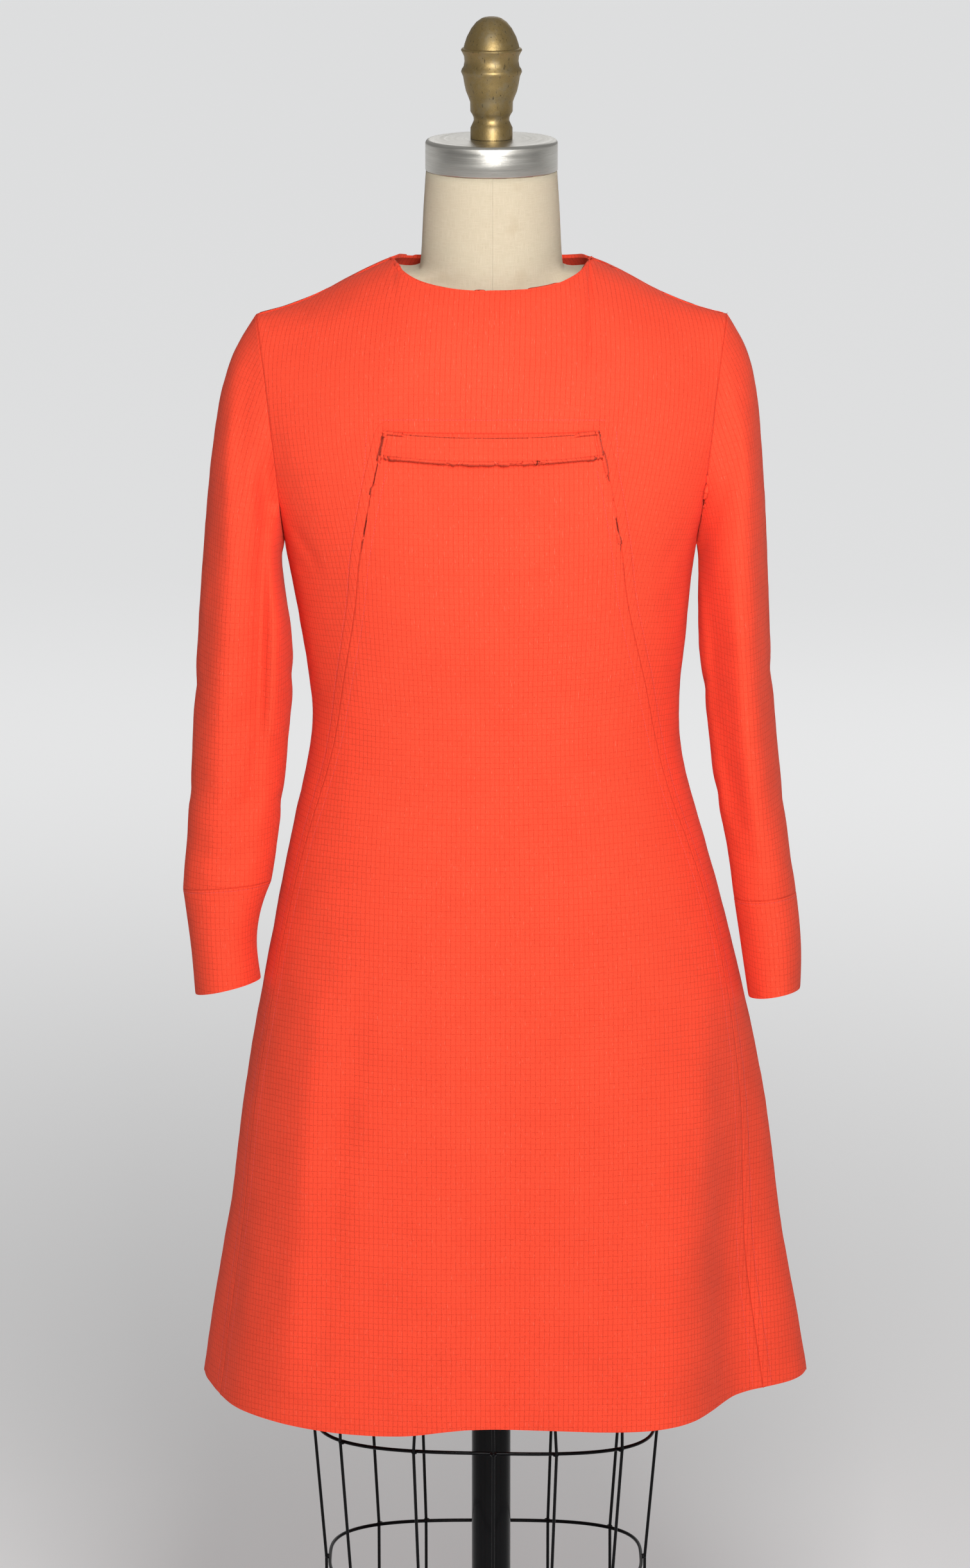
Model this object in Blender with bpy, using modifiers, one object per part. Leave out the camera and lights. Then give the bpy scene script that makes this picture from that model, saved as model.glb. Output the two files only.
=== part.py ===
"""A long-sleeved shift dress worn by a limbless dress form on a pole stand.

Units are metres, +Z is up and the dress faces -Y. The origin is on the floor, under the middle of the pole.
Right and left are the wearer's: the right side is at -X and the left side is at +X.

The dress is made of the pieces that a maker cuts and sews. Each is a wall of cloth, worked out from the
tables below: a few level sections of the body, the shoulder line, the armhole, the seams and the folds.
"""
import math
from collections import namedtuple

import bmesh
import bpy
from mathutils import Matrix, Vector

# ------------------------------------------------------------------ driving sizes

CLOTH = 0.002              # thickness of the wool crepe, worn and pressed
SEAM_GAP = 0.0003          # parting between two pieces that are sewn together
HEM_Z = 0.461
UNDERARM_Z = 1.215
CHEST_SEAM_Z = 1.329       # level seam that the chest band covers
CHEST_RISE = 0.13          # nominal climb along the cloth from the chest seam to the shoulder
NECK_HALF = 0.083          # half the width of the neckline, at the shoulder seams
NECK_FRONT = 0.070         # how far the neckline reaches forward
NECK_BACK = 0.066
NECK_OVAL = 2.5            # power of the neckline's oval, as OVAL
SHOULDER_HALF = 0.200      # pole axis to the shoulder tip
OVAL = 2.2                 # power of the body's oval sections: 2 is an ellipse, more is squarer
FRONT_ROLL = 0.15          # height over which the front rounds over to the shoulder seam
BACK_ROLL = 0.10

# ------------------------------------------------------------------ tables

# Level sections of the dress. Above the underarm the side reaches are those of the whole rounded body,
# which the armholes cut off.
Section = namedtuple("Section", "z right left front back")
BODY = [
    Section(0.461, 0.2550, 0.2800, 0.158, 0.152),
    Section(0.525, 0.2460, 0.2710, 0.154, 0.148),
    Section(0.584, 0.2360, 0.2590, 0.150, 0.144),
    Section(0.643, 0.2255, 0.2515, 0.146, 0.141),
    Section(0.702, 0.2200, 0.2450, 0.143, 0.138),
    Section(0.804, 0.2030, 0.2240, 0.137, 0.132),
    Section(0.906, 0.1836, 0.1980, 0.128, 0.123),
    Section(0.963, 0.1726, 0.1820, 0.121, 0.115),
    Section(1.020, 0.1590, 0.1655, 0.112, 0.106),
    Section(1.063, 0.1530, 0.1610, 0.108, 0.101),
    Section(1.134, 0.1635, 0.1675, 0.117, 0.103),
    Section(1.215, 0.1780, 0.1760, 0.126, 0.107),
    Section(1.270, 0.1970, 0.1970, 0.124, 0.111),
    Section(1.310, 0.2100, 0.2100, 0.121, 0.112),
    Section(1.345, 0.2190, 0.2190, 0.119, 0.111),
    Section(1.380, 0.2260, 0.2260, 0.117, 0.109),
    Section(1.480, 0.2360, 0.2360, 0.112, 0.104),
]

# The shoulder line, seen from the front, carried on over the neck opening.
ShoulderPoint = namedtuple("ShoulderPoint", "x z")
SHOULDER = [
    ShoulderPoint(0.000, 1.4740),
    ShoulderPoint(0.040, 1.4715),
    ShoulderPoint(0.083, 1.4600),
    ShoulderPoint(0.108, 1.4490),
    ShoulderPoint(0.135, 1.4345),
    ShoulderPoint(0.152, 1.4255),
    ShoulderPoint(0.175, 1.4170),
    ShoulderPoint(0.210, 1.4080),
]

# The armhole, seen from the front: how far from the middle the body's pieces end.
ArmholePoint = namedtuple("ArmholePoint", "z reach")
ARMHOLE = [
    ArmholePoint(1.215, 0.1770),
    ArmholePoint(1.270, 0.1815),
    ArmholePoint(1.310, 0.1860),
    ArmholePoint(1.345, 0.1900),
    ArmholePoint(1.380, 0.1945),
    ArmholePoint(1.412, 0.2000),
]

# The princess seams: share of the way from the middle of the front to the side.
SeamPoint = namedtuple("SeamPoint", "z share")
PRINCESS = [
    SeamPoint(0.461, 0.950),
    SeamPoint(0.900, 0.950),
    SeamPoint(0.965, 0.925),
    SeamPoint(1.020, 0.895),
    SeamPoint(1.075, 0.850),
    SeamPoint(1.128, 0.760),
    SeamPoint(1.165, 0.690),
    SeamPoint(1.215, 0.635),
    SeamPoint(1.280, 0.555),
    SeamPoint(1.329, 0.476),
]

# Soft folds of the skirt: angle round the body in degrees (0 is the middle of the front, 90 the left side,
# 180 the middle of the back), at the fold's top and at the hem, the height where it starts, how far it
# stands out at the hem (in is negative) and half its width in degrees.
Fold = namedtuple("Fold", "top_angle hem_angle top_z out half_width")
SKIRT_FOLDS = [
    Fold(-45, -41, 0.90, 0.010, 20),
    Fold(-31, -34, 0.94, -0.002, 11),
    Fold(-70, -74, 0.74, -0.005, 17),
    Fold(-62, -57, 0.74, 0.003, 14),
    Fold(0, 2, 0.86, -0.007, 14),
    Fold(14, 14, 0.58, -0.002, 7),
    Fold(52, 30, 0.86, 0.005, 16),
    Fold(70, 60, 0.90, -0.040, 31),
    Fold(112, 116, 0.80, 0.010, 15),
    Fold(136, 134, 0.88, -0.014, 14),
    Fold(158, 156, 0.78, 0.009, 13),
    Fold(-172, -170, 0.84, -0.010, 11),
    Fold(-150, -148, 0.86, 0.011, 14),
    Fold(-124, -126, 0.90, -0.013, 14),
    Fold(-104, -106, 0.72, 0.008, 12),
]

# How far the hem hangs below its level, round the body: 0 is the front, 90 the wearer's left.
HemPoint = namedtuple("HemPoint", "angle drop")
HEM_LINE = [
    HemPoint(-180, -0.0010),
    HemPoint(-150, 0.0020),
    HemPoint(-120, -0.0015),
    HemPoint(-96, -0.0048),
    HemPoint(-84, -0.0037),
    HemPoint(-72, -0.0009),
    HemPoint(-42, 0.0004),
    HemPoint(-30, 0.0048),
    HemPoint(-20, 0.0050),
    HemPoint(-12, 0.0030),
    HemPoint(-5, -0.0031),
    HemPoint(2, -0.0024),
    HemPoint(12, -0.0003),
    HemPoint(24, 0.0015),
    HemPoint(48, 0.0001),
    HemPoint(60, -0.0018),
    HemPoint(84, -0.0048),
    HemPoint(100, -0.0048),
    HemPoint(125, -0.0010),
    HemPoint(150, 0.0020),
    HemPoint(180, -0.0010),
]
HEM_FADE_Z = 0.580         # the hem's rise and fall is lost above this height

# A sleeve, ring by ring from the armhole down: the ring's outermost point, its innermost point beside the
# body, and how far it reaches to the front and to the back, all from the middle plane. lift is how much
# higher the ring is at the front than at its middle.
Ring = namedtuple("Ring", "outer_x outer_z inner_x inner_z front back lift", defaults=[0.0])
ARMHOLE_RING = Ring(0.2000, 1.4120, 0.1770, 1.2150, 0.0620, 0.0620)
SLEEVE_RIGHT = [
    Ring(0.2190, 1.3830, 0.1795, 1.1980, 0.059, 0.059),
    Ring(0.2310, 1.3450, 0.1780, 1.1780, 0.063, 0.062),
    Ring(0.2385, 1.3000, 0.1745, 1.1560, 0.067, 0.065),
    Ring(0.2440, 1.2450, 0.1700, 1.1300, 0.069, 0.067),
    Ring(0.2490, 1.1850, 0.1695, 1.0980, 0.068, 0.063),
    Ring(0.2535, 1.1200, 0.1715, 1.0580, 0.066, 0.056),
    Ring(0.2570, 1.0600, 0.1755, 1.0200, 0.064, 0.048),
    Ring(0.2600, 1.0050, 0.1800, 0.9830, 0.063, 0.038, 0.002),
    Ring(0.2635, 0.9550, 0.1850, 0.9460, 0.062, 0.028, 0.004),
    Ring(0.2670, 0.9120, 0.1895, 0.9190, 0.062, 0.018, 0.006),
]
SLEEVE_LEFT = [
    Ring(0.2190, 1.3830, 0.1780, 1.1980, 0.060, 0.060),
    Ring(0.2270, 1.3450, 0.1775, 1.1780, 0.066, 0.064),
    Ring(0.2310, 1.3000, 0.1770, 1.1560, 0.072, 0.069),
    Ring(0.2345, 1.2450, 0.1775, 1.1300, 0.076, 0.071),
    Ring(0.2375, 1.1850, 0.1800, 1.0980, 0.077, 0.068),
    Ring(0.2400, 1.1200, 0.1860, 1.0580, 0.076, 0.061),
    Ring(0.2445, 1.0600, 0.1895, 1.0200, 0.074, 0.052),
    Ring(0.2505, 1.0050, 0.1955, 0.9850, 0.072, 0.043, 0.002),
    Ring(0.2575, 0.9500, 0.2040, 0.9480, 0.070, 0.033, 0.004),
    Ring(0.2640, 0.9100, 0.2095, 0.9040, 0.069, 0.024, 0.006),
]
CUFF_RIGHT = [
    Ring(0.2630, 0.8800, 0.2010, 0.8870, 0.063, 0.018, 0.0070),
    Ring(0.2600, 0.8560, 0.2040, 0.8620, 0.065, 0.020, 0.0070),
    Ring(0.2575, 0.8180, 0.1995, 0.8320, 0.067, 0.022, 0.0070),
]
CUFF_LEFT = [
    Ring(0.2678, 0.8800, 0.2140, 0.8750, 0.070, 0.022, 0.0070),
    Ring(0.2694, 0.8520, 0.2185, 0.8450, 0.070, 0.021, 0.0070),
    Ring(0.2685, 0.8245, 0.2230, 0.8160, 0.070, 0.020, 0.0070),
]

# Long soft folds of the sleeves: angle round the sleeve in degrees (0 outermost, 90 front, 180 beside the
# body), first and last ring, how far it stands out, and half its width in degrees.
SleeveFold = namedtuple("SleeveFold", "angle first last out half_width")
FOLDS_RIGHT = [
    SleeveFold(102, 2.0, 9.6, -0.008, 34),
    SleeveFold(66, 1.5, 8.0, 0.003, 30),
    SleeveFold(255, 3.0, 9.6, -0.006, 34),
]
FOLDS_LEFT = [
    SleeveFold(120, 2.5, 9.6, -0.009, 32),
    SleeveFold(72, 0.6, 9.0, 0.004, 30),
    SleeveFold(250, 3.0, 9.6, -0.006, 34),
]

# Level sections of the dress form's torso and neck, up to where the shoulders start to slope.
# half is the width that is left between the flat arm plates, and whole that of the oval before they cut it.
FormSection = namedtuple("FormSection", "z half whole front back")
FORM_TORSO = [
    FormSection(0.800, 0.1820, 0.1825, 0.118, 0.113),
    FormSection(0.850, 0.1780, 0.1785, 0.115, 0.112),
    FormSection(0.910, 0.1650, 0.1655, 0.109, 0.107),
    FormSection(0.970, 0.1470, 0.1475, 0.099, 0.097),
    FormSection(1.030, 0.1350, 0.1355, 0.090, 0.087),
    FormSection(1.070, 0.1340, 0.1345, 0.090, 0.084),
    FormSection(1.130, 0.1440, 0.1450, 0.100, 0.086),
    FormSection(1.200, 0.1570, 0.1600, 0.111, 0.092),
    FormSection(1.260, 0.1620, 0.1740, 0.110, 0.096),
    FormSection(1.330, 0.1620, 0.1880, 0.102, 0.095),
    FormSection(1.480, 0.1620, 0.1960, 0.096, 0.088),
]
FORM_LEVELS = [0.80, 0.85, 0.91, 0.97, 1.03, 1.07, 1.13, 1.20, 1.26, 1.31, 1.35, 1.38, 1.40]
# Half widths at which each upper level meets the shoulder slope.
FORM_SHOULDERS = [0.160, 0.149, 0.137, 0.124, 0.111, 0.099, 0.088]
NeckRing = namedtuple("NeckRing", "z half_width half_depth")
NECK_RINGS = [
    NeckRing(1.4640, 0.0616, 0.0584),
    NeckRing(1.4730, 0.0599, 0.0578),
    NeckRing(1.4880, 0.0589, 0.0572),
    NeckRing(1.5080, 0.0577, 0.0566),
    NeckRing(1.5330, 0.0560, 0.0560),
]
NECK_RADIUS = 0.0590       # at the neck's foot, where it rises out of the shoulders
NECK_FOOT_Z = 1.415

# ------------------------------------------------------------------ dress form and stand

FORM_SINK = CLOTH + 0.0016     # the form's shoulders lie just under the cloth that rests on them
FORM_RIDGE = 0.0005            # how far the top of the shoulder slope is flattened
FORM_COLUMNS = 28
CAP_RADIUS = 0.056
CAP_TOP_Z = 1.560
FIT_GAP = 0.0003               # parting between two hard pieces that touch
POLE_RADIUS = 0.01725
BASE_RADIUS = 0.240
BASE_FLOOR = 0.018             # metal under the pole's end
HUB_RADIUS = 0.032
HUB_TOP = 0.070
RING_RADIUS = 0.0016
UPRIGHT_RADIUS = 0.0014
WELD_DEPTH = 0.0006            # how far a welded wire sinks into its ring
CAGE_STEPS = 36                # corners of a ring
CAGE_X = -0.005                # the cage hangs a little to the right of the pole
# power is that of the superellipse a ring follows, and fall is how much lower it hangs at the wearer's
# left than at its middle.
CageLevel = namedtuple("CageLevel", "z half_width half_depth power fall")
CAGE_RINGS = [
    CageLevel(0.4230, 0.1500, 0.1000, 3.1, 0.0030),
    CageLevel(0.2900, 0.1390, 0.0900, 3.1, 0.0),
    CageLevel(0.1580, 0.1390, 0.0970, 3.1, 0.0),
]
# Each upright: its share of the way out to the side, whether it runs in front (-1) or behind (1), and the
# number of the ring that it is welded to.
Upright = namedtuple("Upright", "share side welded")
UPRIGHTS = [
    Upright(-0.830, -1, 0),
    Upright(-0.410, -1, 0),
    Upright(0.045, -1, 1),
    Upright(0.404, -1, 0),
    Upright(0.780, -1, 0),
    Upright(1.000, 1, 0),
    Upright(0.797, 1, 2),
    Upright(0.398, 1, 0),
    Upright(0.010, 1, 0),
    Upright(-0.380, 1, 0),
    Upright(-0.680, 1, 0),
    Upright(-1.000, 1, 3),
]
CAGE_TOP = CageLevel(FORM_LEVELS[0] - FIT_GAP, 0.1740, 0.1060, 2.0, 0.0)
CAGE_FOOT_Z = 0.152
Turning = namedtuple("Turning", "rise radius")
FINIAL = [
    Turning(0.1018, 0.0060),
    Turning(0.1010, 0.0083),
    Turning(0.0978, 0.0129),
    Turning(0.0925, 0.0171),
    Turning(0.0855, 0.0208),
    Turning(0.0798, 0.0227),
    Turning(0.0763, 0.0236),
    Turning(0.0757, 0.0252),
    Turning(0.0743, 0.0258),
    Turning(0.0721, 0.0246),
    Turning(0.0692, 0.0232),
    Turning(0.0651, 0.0228),
    Turning(0.0606, 0.0236),
    Turning(0.0582, 0.0252),
    Turning(0.0561, 0.0257),
    Turning(0.0541, 0.0248),
    Turning(0.0521, 0.0240),
    Turning(0.0455, 0.0229),
    Turning(0.0398, 0.0216),
    Turning(0.0349, 0.0196),
    Turning(0.0308, 0.0181),
    Turning(0.0228, 0.0179),
    Turning(0.0202, 0.0163),
    Turning(0.0178, 0.0152),
    Turning(0.0153, 0.0150),
    Turning(0.0117, 0.0165),
    Turning(0.0090, 0.0178),
    Turning(0.0000, 0.0178),
]

# ------------------------------------------------------------------ zip

ZIP_FOOT = 0.985
ZIP_HALF_WIDTH = 0.012
TAPE = 0.001
SLIDER_AT = CHEST_SEAM_Z + 0.90 * CHEST_RISE
SLIDER_GAP = 0.0004        # between the slider's plate and the cloth
SLIDER_WIDTH = 0.0064
SLIDER_LENGTH = 0.0095
SLIDER_HEIGHT = 0.0022
BRIDGE_WIDTH = 0.0016
BRIDGE_HEIGHT = 0.0034     # above the slider's plate
BRIDGE_LENGTH = 0.0066
BRIDGE_BAR = 0.0010
PULL_BAR = 0.0010          # thickness of the tab and of the bar of its eye
PULL_WIDTH = 0.0050
PULL_LENGTH = 0.0240
EYE_WIDTH = 0.0026
EYE_LENGTH = 0.0046
PIVOT_HEIGHT = SLIDER_HEIGHT + 0.0012
PIVOT_RISE = -0.0015       # the tab's bar hangs at the lower end of the bridge
PULL_TILT = -7.5           # degrees the tab leans in towards the cloth, onto the slider's edge

# ------------------------------------------------------------------ chest band

BAND_HEIGHT = 0.0225
BAND_GAP = 0.0005          # off the front, at its ends
BAND_STAND_OFF = 0.0050    # how far its middle hangs clear of the front
BAND_SAG = 0.0035

# ------------------------------------------------------------------ grids

BODY_LEVELS = [HEM_Z, 0.520, 0.580, 0.640, 0.700, 0.760, 0.820, 0.880, 0.935, 0.985, 1.025, 1.063, 1.100,
               1.140, 1.178, UNDERARM_Z, 1.250, 1.290, CHEST_SEAM_Z]
UPPER_SHARES = [0.22, 0.44, 0.64, 0.82, 0.93, 1.0]     # rows from the chest seam up to the shoulder
SIDE_COLUMNS = 4           # across each side front
CENTRE_COLUMNS = 20
BACK_COLUMNS = 13          # across each back
NECK_COLUMN = 8            # the one, counted from the side seam, that ends at the neck's corner
DIFF_ANGLE = math.radians(0.5)
DIFF_LEVEL = 0.0005
WELD = 0.00001             # merge distance
SHARP_ANGLE = 40

Finish = namedtuple("Finish", "red green blue roughness metallic")
WOOL = Finish(0.86, 0.09, 0.04, 0.85, 0.0)
LINEN = Finish(0.62, 0.56, 0.44, 0.90, 0.0)
STEEL = Finish(0.60, 0.58, 0.55, 0.35, 1.0)
BRASS = Finish(0.55, 0.38, 0.14, 0.40, 1.0)
BLACK = Finish(0.02, 0.02, 0.02, 0.25, 0.0)
TAPE_RED = Finish(0.60, 0.05, 0.03, 0.80, 0.0)


# ------------------------------------------------------------------ scene helpers

def clear_scene():
    for old in list(bpy.data.objects):
        bpy.data.objects.remove(old, do_unlink=True)


def material(name, finish):
    """A Principled material of one finish, made once and shared."""
    found = bpy.data.materials.get(name)
    if found:
        return found
    made = bpy.data.materials.new(name)
    made.use_nodes = True
    shader = made.node_tree.nodes["Principled BSDF"]
    shader.inputs["Base Color"].default_value = (finish.red, finish.green, finish.blue, 1.0)
    shader.inputs["Roughness"].default_value = finish.roughness
    shader.inputs["Metallic"].default_value = finish.metallic
    return made


def add_object(name, data, finish_name, finish):
    """Puts a mesh or curve in the part's collection, with its material."""
    part = bpy.data.objects.new(name, data)
    PARTS.objects.link(part)
    data.materials.append(material(finish_name, finish))
    return part


# ------------------------------------------------------------------ curves through the tables

def smooth(rows, column, at):
    """The value of a column, on a smooth curve through the table's rows. The first column is the height."""
    heights = [row[0] for row in rows]
    values = [getattr(row, column) for row in rows]
    if at <= heights[0]:
        return values[0]
    if at >= heights[-1]:
        return values[-1]
    low = max(i for i in range(len(rows) - 1) if heights[i] <= at)
    slopes = []
    for i in (low, low + 1):
        before, after = max(i - 1, 0), min(i + 1, len(rows) - 1)
        slopes.append((values[after] - values[before]) / (heights[after] - heights[before]))
    span = heights[low + 1] - heights[low]
    t = (at - heights[low]) / span
    return (values[low] * (2 * t**3 - 3 * t**2 + 1) + slopes[0] * span * (t**3 - 2 * t**2 + t)
            + values[low + 1] * (3 * t**2 - 2 * t**3) + slopes[1] * span * (t**3 - t**2))


def ease(t):
    """0 to 1 with level ends."""
    t = min(max(t, 0.0), 1.0)
    return t * t * (3 - 2 * t)


def bump(distance, half_width):
    """A soft ridge: 1 in the middle and 0 from half_width on."""
    if abs(distance) >= half_width:
        return 0.0
    return 0.5 + 0.5 * math.cos(math.pi * distance / half_width)


# ------------------------------------------------------------------ the body of the dress

def oval_share(angle):
    """Share of the way out to the side, for an angle round the body."""
    return abs(math.sin(angle)) ** (2 / OVAL)


def share_angle(share):
    return math.asin(min(share, 1.0) ** (OVAL / 2))


def roll_cosine(x, z, roll, sink=0.0):
    """How much of its depth the body has left at height z, where it rounds over to the shoulder line."""
    climbed = (z - smooth(SHOULDER, "z", abs(x)) + sink + roll) / roll
    return math.sqrt(max(1 - min(max(climbed, 0.0), 1.0) ** 2, 0.0))


def body_depth(x, z, front):
    """Distance of the dress from the plane of the side seams, forward or back."""
    side = "left" if x > 0 else "right"
    depth = smooth(BODY, "front" if front else "back", z)
    narrowing = max(1 - (abs(x) / smooth(BODY, side, z)) ** OVAL, 0.0) ** (1 / OVAL)
    return depth * narrowing * roll_cosine(x, z, FRONT_ROLL if front else BACK_ROLL)


def neck_depth(x, front):
    """How far the neckline reaches forward or back at x."""
    reach = NECK_FRONT if front else NECK_BACK
    return reach * max(1 - (abs(x) / NECK_HALF) ** NECK_OVAL, 0.0) ** (1 / NECK_OVAL)


def climb(x, share, front):
    """Height reached when the cloth has covered a share of its way from the chest seam to its top edge."""
    roll = FRONT_ROLL if front else BACK_ROLL
    top = smooth(SHOULDER, "z", abs(x))
    start = math.asin(max((CHEST_SEAM_Z - top + roll) / roll, 0.0))
    end = math.pi / 2
    if abs(x) < NECK_HALF:
        depth = smooth(BODY, "front" if front else "back", top)
        narrowing = (1 - (abs(x) / smooth(BODY, "right", top)) ** OVAL) ** (1 / OVAL)
        end = math.acos(neck_depth(x, front) / (depth * narrowing))
    straight = max(top - roll - CHEST_SEAM_Z, 0.0)
    way = share * (straight + roll * (end - start))
    if way < straight:
        return CHEST_SEAM_Z + way
    return top - roll + roll * math.sin(start + (way - straight) / roll)


def skirt_fold(angle, z):
    """How far the folds push the skirt out at this place."""
    out = 0.0
    for fold in SKIRT_FOLDS:
        down = ease((fold.top_z - z) / (fold.top_z - HEM_Z))
        middle = fold.hem_angle + (fold.top_angle - fold.hem_angle) * (z - HEM_Z) / (fold.top_z - HEM_Z)
        turn = (math.degrees(angle) - middle + 180) % 360 - 180
        out += fold.out * down * bump(turn, fold.half_width)
    return out


def hem_drop(angle, z):
    """How much lower the cloth hangs here, near the hem, than a level hem would have it."""
    if z >= HEM_FADE_Z:
        return 0.0
    around = (math.degrees(angle) + 180) % 360 - 180
    return smooth(HEM_LINE, "drop", around) * (HEM_FADE_Z - z) / (HEM_FADE_Z - HEM_Z)


def body_point(angle, level):
    """A point of the dress's outside. Up to the chest seam the level is a height. Above it, it runs on to
    CHEST_RISE at the shoulder seam or the neckline."""
    front = math.cos(angle) > 0
    side = 1 if math.sin(angle) > 0 else -1
    share = oval_share(angle)
    if level <= UNDERARM_Z:
        z = level
        reach = smooth(BODY, "left" if side > 0 else "right", z)
        x = side * share * reach
    elif level <= CHEST_SEAM_Z:
        z = level
        x = side * share * smooth(ARMHOLE, "reach", z)
    else:
        up = min((level - CHEST_SEAM_Z) / CHEST_RISE, 1.0)
        edge_z = climb(smooth(ARMHOLE, "reach", CHEST_SEAM_Z), up, front)
        x = side * share * smooth(ARMHOLE, "reach", edge_z)
        z = climb(x, up, front)
    y = body_depth(x, z, front) * (-1 if front else 1)
    lean = Vector((math.sin(angle), -math.cos(angle) * 1.4, 0)).normalized()
    return Vector((x, y, z - hem_drop(angle, z))) + lean * skirt_fold(angle, z)


def body_normal(angle, level, front):
    """The way out of the cloth, the same for both pieces at a seam."""
    low, high = (-math.pi / 2, math.pi / 2) if front else (math.pi / 2, 3 * math.pi / 2)
    across = (body_point(min(angle + DIFF_ANGLE, high), level)
              - body_point(max(angle - DIFF_ANGLE, low), level))
    up = (body_point(angle, min(level + DIFF_LEVEL, CHEST_SEAM_Z + CHEST_RISE))
          - body_point(angle, max(level - DIFF_LEVEL, HEM_Z)))
    return across.cross(up).normalized()


# ------------------------------------------------------------------ walls of cloth

def wall(name, outer, inner, finish_name, finish, around=False, skip=()):
    """A closed wall between two grids of points, [row][column], joined along every free edge.
    around joins the last column to the first, and skip names cells, (row, column), that are left out."""
    rows, columns = len(outer), len(outer[0])
    cells = set()
    for row in range(rows - 1):
        for column in range(columns if around else columns - 1):
            if (row, column) not in skip:
                cells.add((row, column))
    sheet = bmesh.new()
    corners = {}

    def corner(row, column, layer):
        key = (row, column % columns, layer)
        if key not in corners:
            grid = outer if layer == 0 else inner
            corners[key] = sheet.verts.new(grid[row][column % columns])
        return corners[key]

    def neighbour(row, column):
        return (row, column % columns) if around else (row, column)

    for row, column in sorted(cells):
        ring = [(row, column), (row, column + 1), (row + 1, column + 1), (row + 1, column)]
        sheet.faces.new([corner(r, c, 0) for r, c in ring])
        sheet.faces.new([corner(r, c, 1) for r, c in reversed(ring)])
        beside = [(row - 1, column), (row, column + 1), (row + 1, column), (row, column - 1)]
        for side, other in enumerate(beside):
            if neighbour(*other) in cells:
                continue
            start, end = ring[side], ring[(side + 1) % 4]
            sheet.faces.new([corner(*end, 0), corner(*start, 0), corner(*start, 1), corner(*end, 1)])
    mesh = bpy.data.meshes.new(name)
    sheet.to_mesh(mesh)
    sheet.free()
    mesh.shade_smooth()
    return add_object(name, mesh, finish_name, finish)


def body_panel(name, rows, front, skip=()):
    """A piece of the dress's body from its grid of (angle, level) places."""
    outer, inner = [], []
    for row in rows:
        outer.append([body_point(angle, level) for angle, level in row])
        inner.append([point - CLOTH * body_normal(angle, level, front)
                      for point, (angle, level) in zip(outer[-1], row)])
    return wall(name, outer, inner, "wool_crepe", WOOL, skip=skip)


def upper_levels():
    return [CHEST_SEAM_Z + CHEST_RISE * share for share in UPPER_SHARES]


def princess_angle(level):
    """The princess seam's angle, carried on up to the neck's corner above the chest seam."""
    if level <= CHEST_SEAM_Z:
        return share_angle(smooth(PRINCESS, "share", level))
    up = (level - CHEST_SEAM_Z) / CHEST_RISE
    corner = share_angle(NECK_HALF / SHOULDER_HALF)
    return share_angle(PRINCESS[-1].share) * (1 - up) + corner * up


def gap_angle(level):
    """Half a seam's parting, as an angle round the body."""
    return SEAM_GAP / 2 / smooth(BODY, "front", min(level, UNDERARM_Z))


def shoulder_parting(level):
    """The level, lowered at the shoulder seam by half the parting."""
    top = CHEST_SEAM_Z + CHEST_RISE
    return min(level, top - 1.6 * SEAM_GAP)


def half_columns(level, corner, side_count, middle_count):
    """Angles from the side seam to the middle, with one column at the corner: the princess seam, which runs
    on to the neck's corner. Low down they are even. Towards the top they spread over the shoulder seam and
    gather at the neck's corner, where the neckline turns sharply."""
    edge = math.pi / 2 - gap_angle(level)
    up = ease((level - UNDERARM_Z) / (CHEST_SEAM_Z + CHEST_RISE - UNDERARM_Z))
    places = []
    for i in range(side_count):
        part = i / side_count
        spread = share_angle(oval_share(edge) * (1 - part) + oval_share(corner) * part)
        places.append((edge * (1 - part) + corner * part) * (1 - up) + spread * up)
    for i in range(middle_count + 1):
        part = i / middle_count
        gathered = share_angle(oval_share(corner) * math.cos(math.pi / 2 * part))
        places.append(corner * (1 - part) * (1 - up) + gathered * up)
    return places


def front_angles(level, half_gap):
    """Angles of the front's columns: the right side front, the centre and the left side front."""
    left = half_columns(level, princess_angle(level) + half_gap, SIDE_COLUMNS, CENTRE_COLUMNS // 2)
    return [-angle for angle in left[:-1]] + [0.0] + left[-2::-1]


def centre_angles(level, half_gap):
    return front_angles(level, half_gap)[SIDE_COLUMNS:SIDE_COLUMNS + CENTRE_COLUMNS + 1]


def back_angles(level):
    """Angles of a left back's columns, from the side seam to the centre back."""
    up = ease((level - UNDERARM_Z) / (CHEST_SEAM_Z + CHEST_RISE - UNDERARM_Z))
    even = math.pi / 2 * (1 - NECK_COLUMN / BACK_COLUMNS)
    corner = even * (1 - up) + share_angle(NECK_HALF / SHOULDER_HALF) * up
    half = half_columns(level, corner, NECK_COLUMN, BACK_COLUMNS - NECK_COLUMN)
    return [math.pi - angle for angle in half[:-1]] + [math.pi - gap_angle(level)]


def make_fronts():
    """The centre front, and the yoke that is cut in one with both side fronts."""
    lower = BODY_LEVELS[:-1]
    rows = []
    for level in lower + [CHEST_SEAM_Z - SEAM_GAP / 2]:
        rows.append([(angle, level) for angle in centre_angles(level, -gap_angle(level))])
    body_panel("front_centre", rows, True)

    rows = []
    for level in lower + [CHEST_SEAM_Z + SEAM_GAP / 2] + upper_levels():
        rows.append([(angle, shoulder_parting(level)) for angle in front_angles(level, gap_angle(level))])
    hollow = {(row, column) for row in range(len(lower))
              for column in range(SIDE_COLUMNS, SIDE_COLUMNS + CENTRE_COLUMNS)}
    body_panel("front_yoke", rows, True, skip=hollow)


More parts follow.
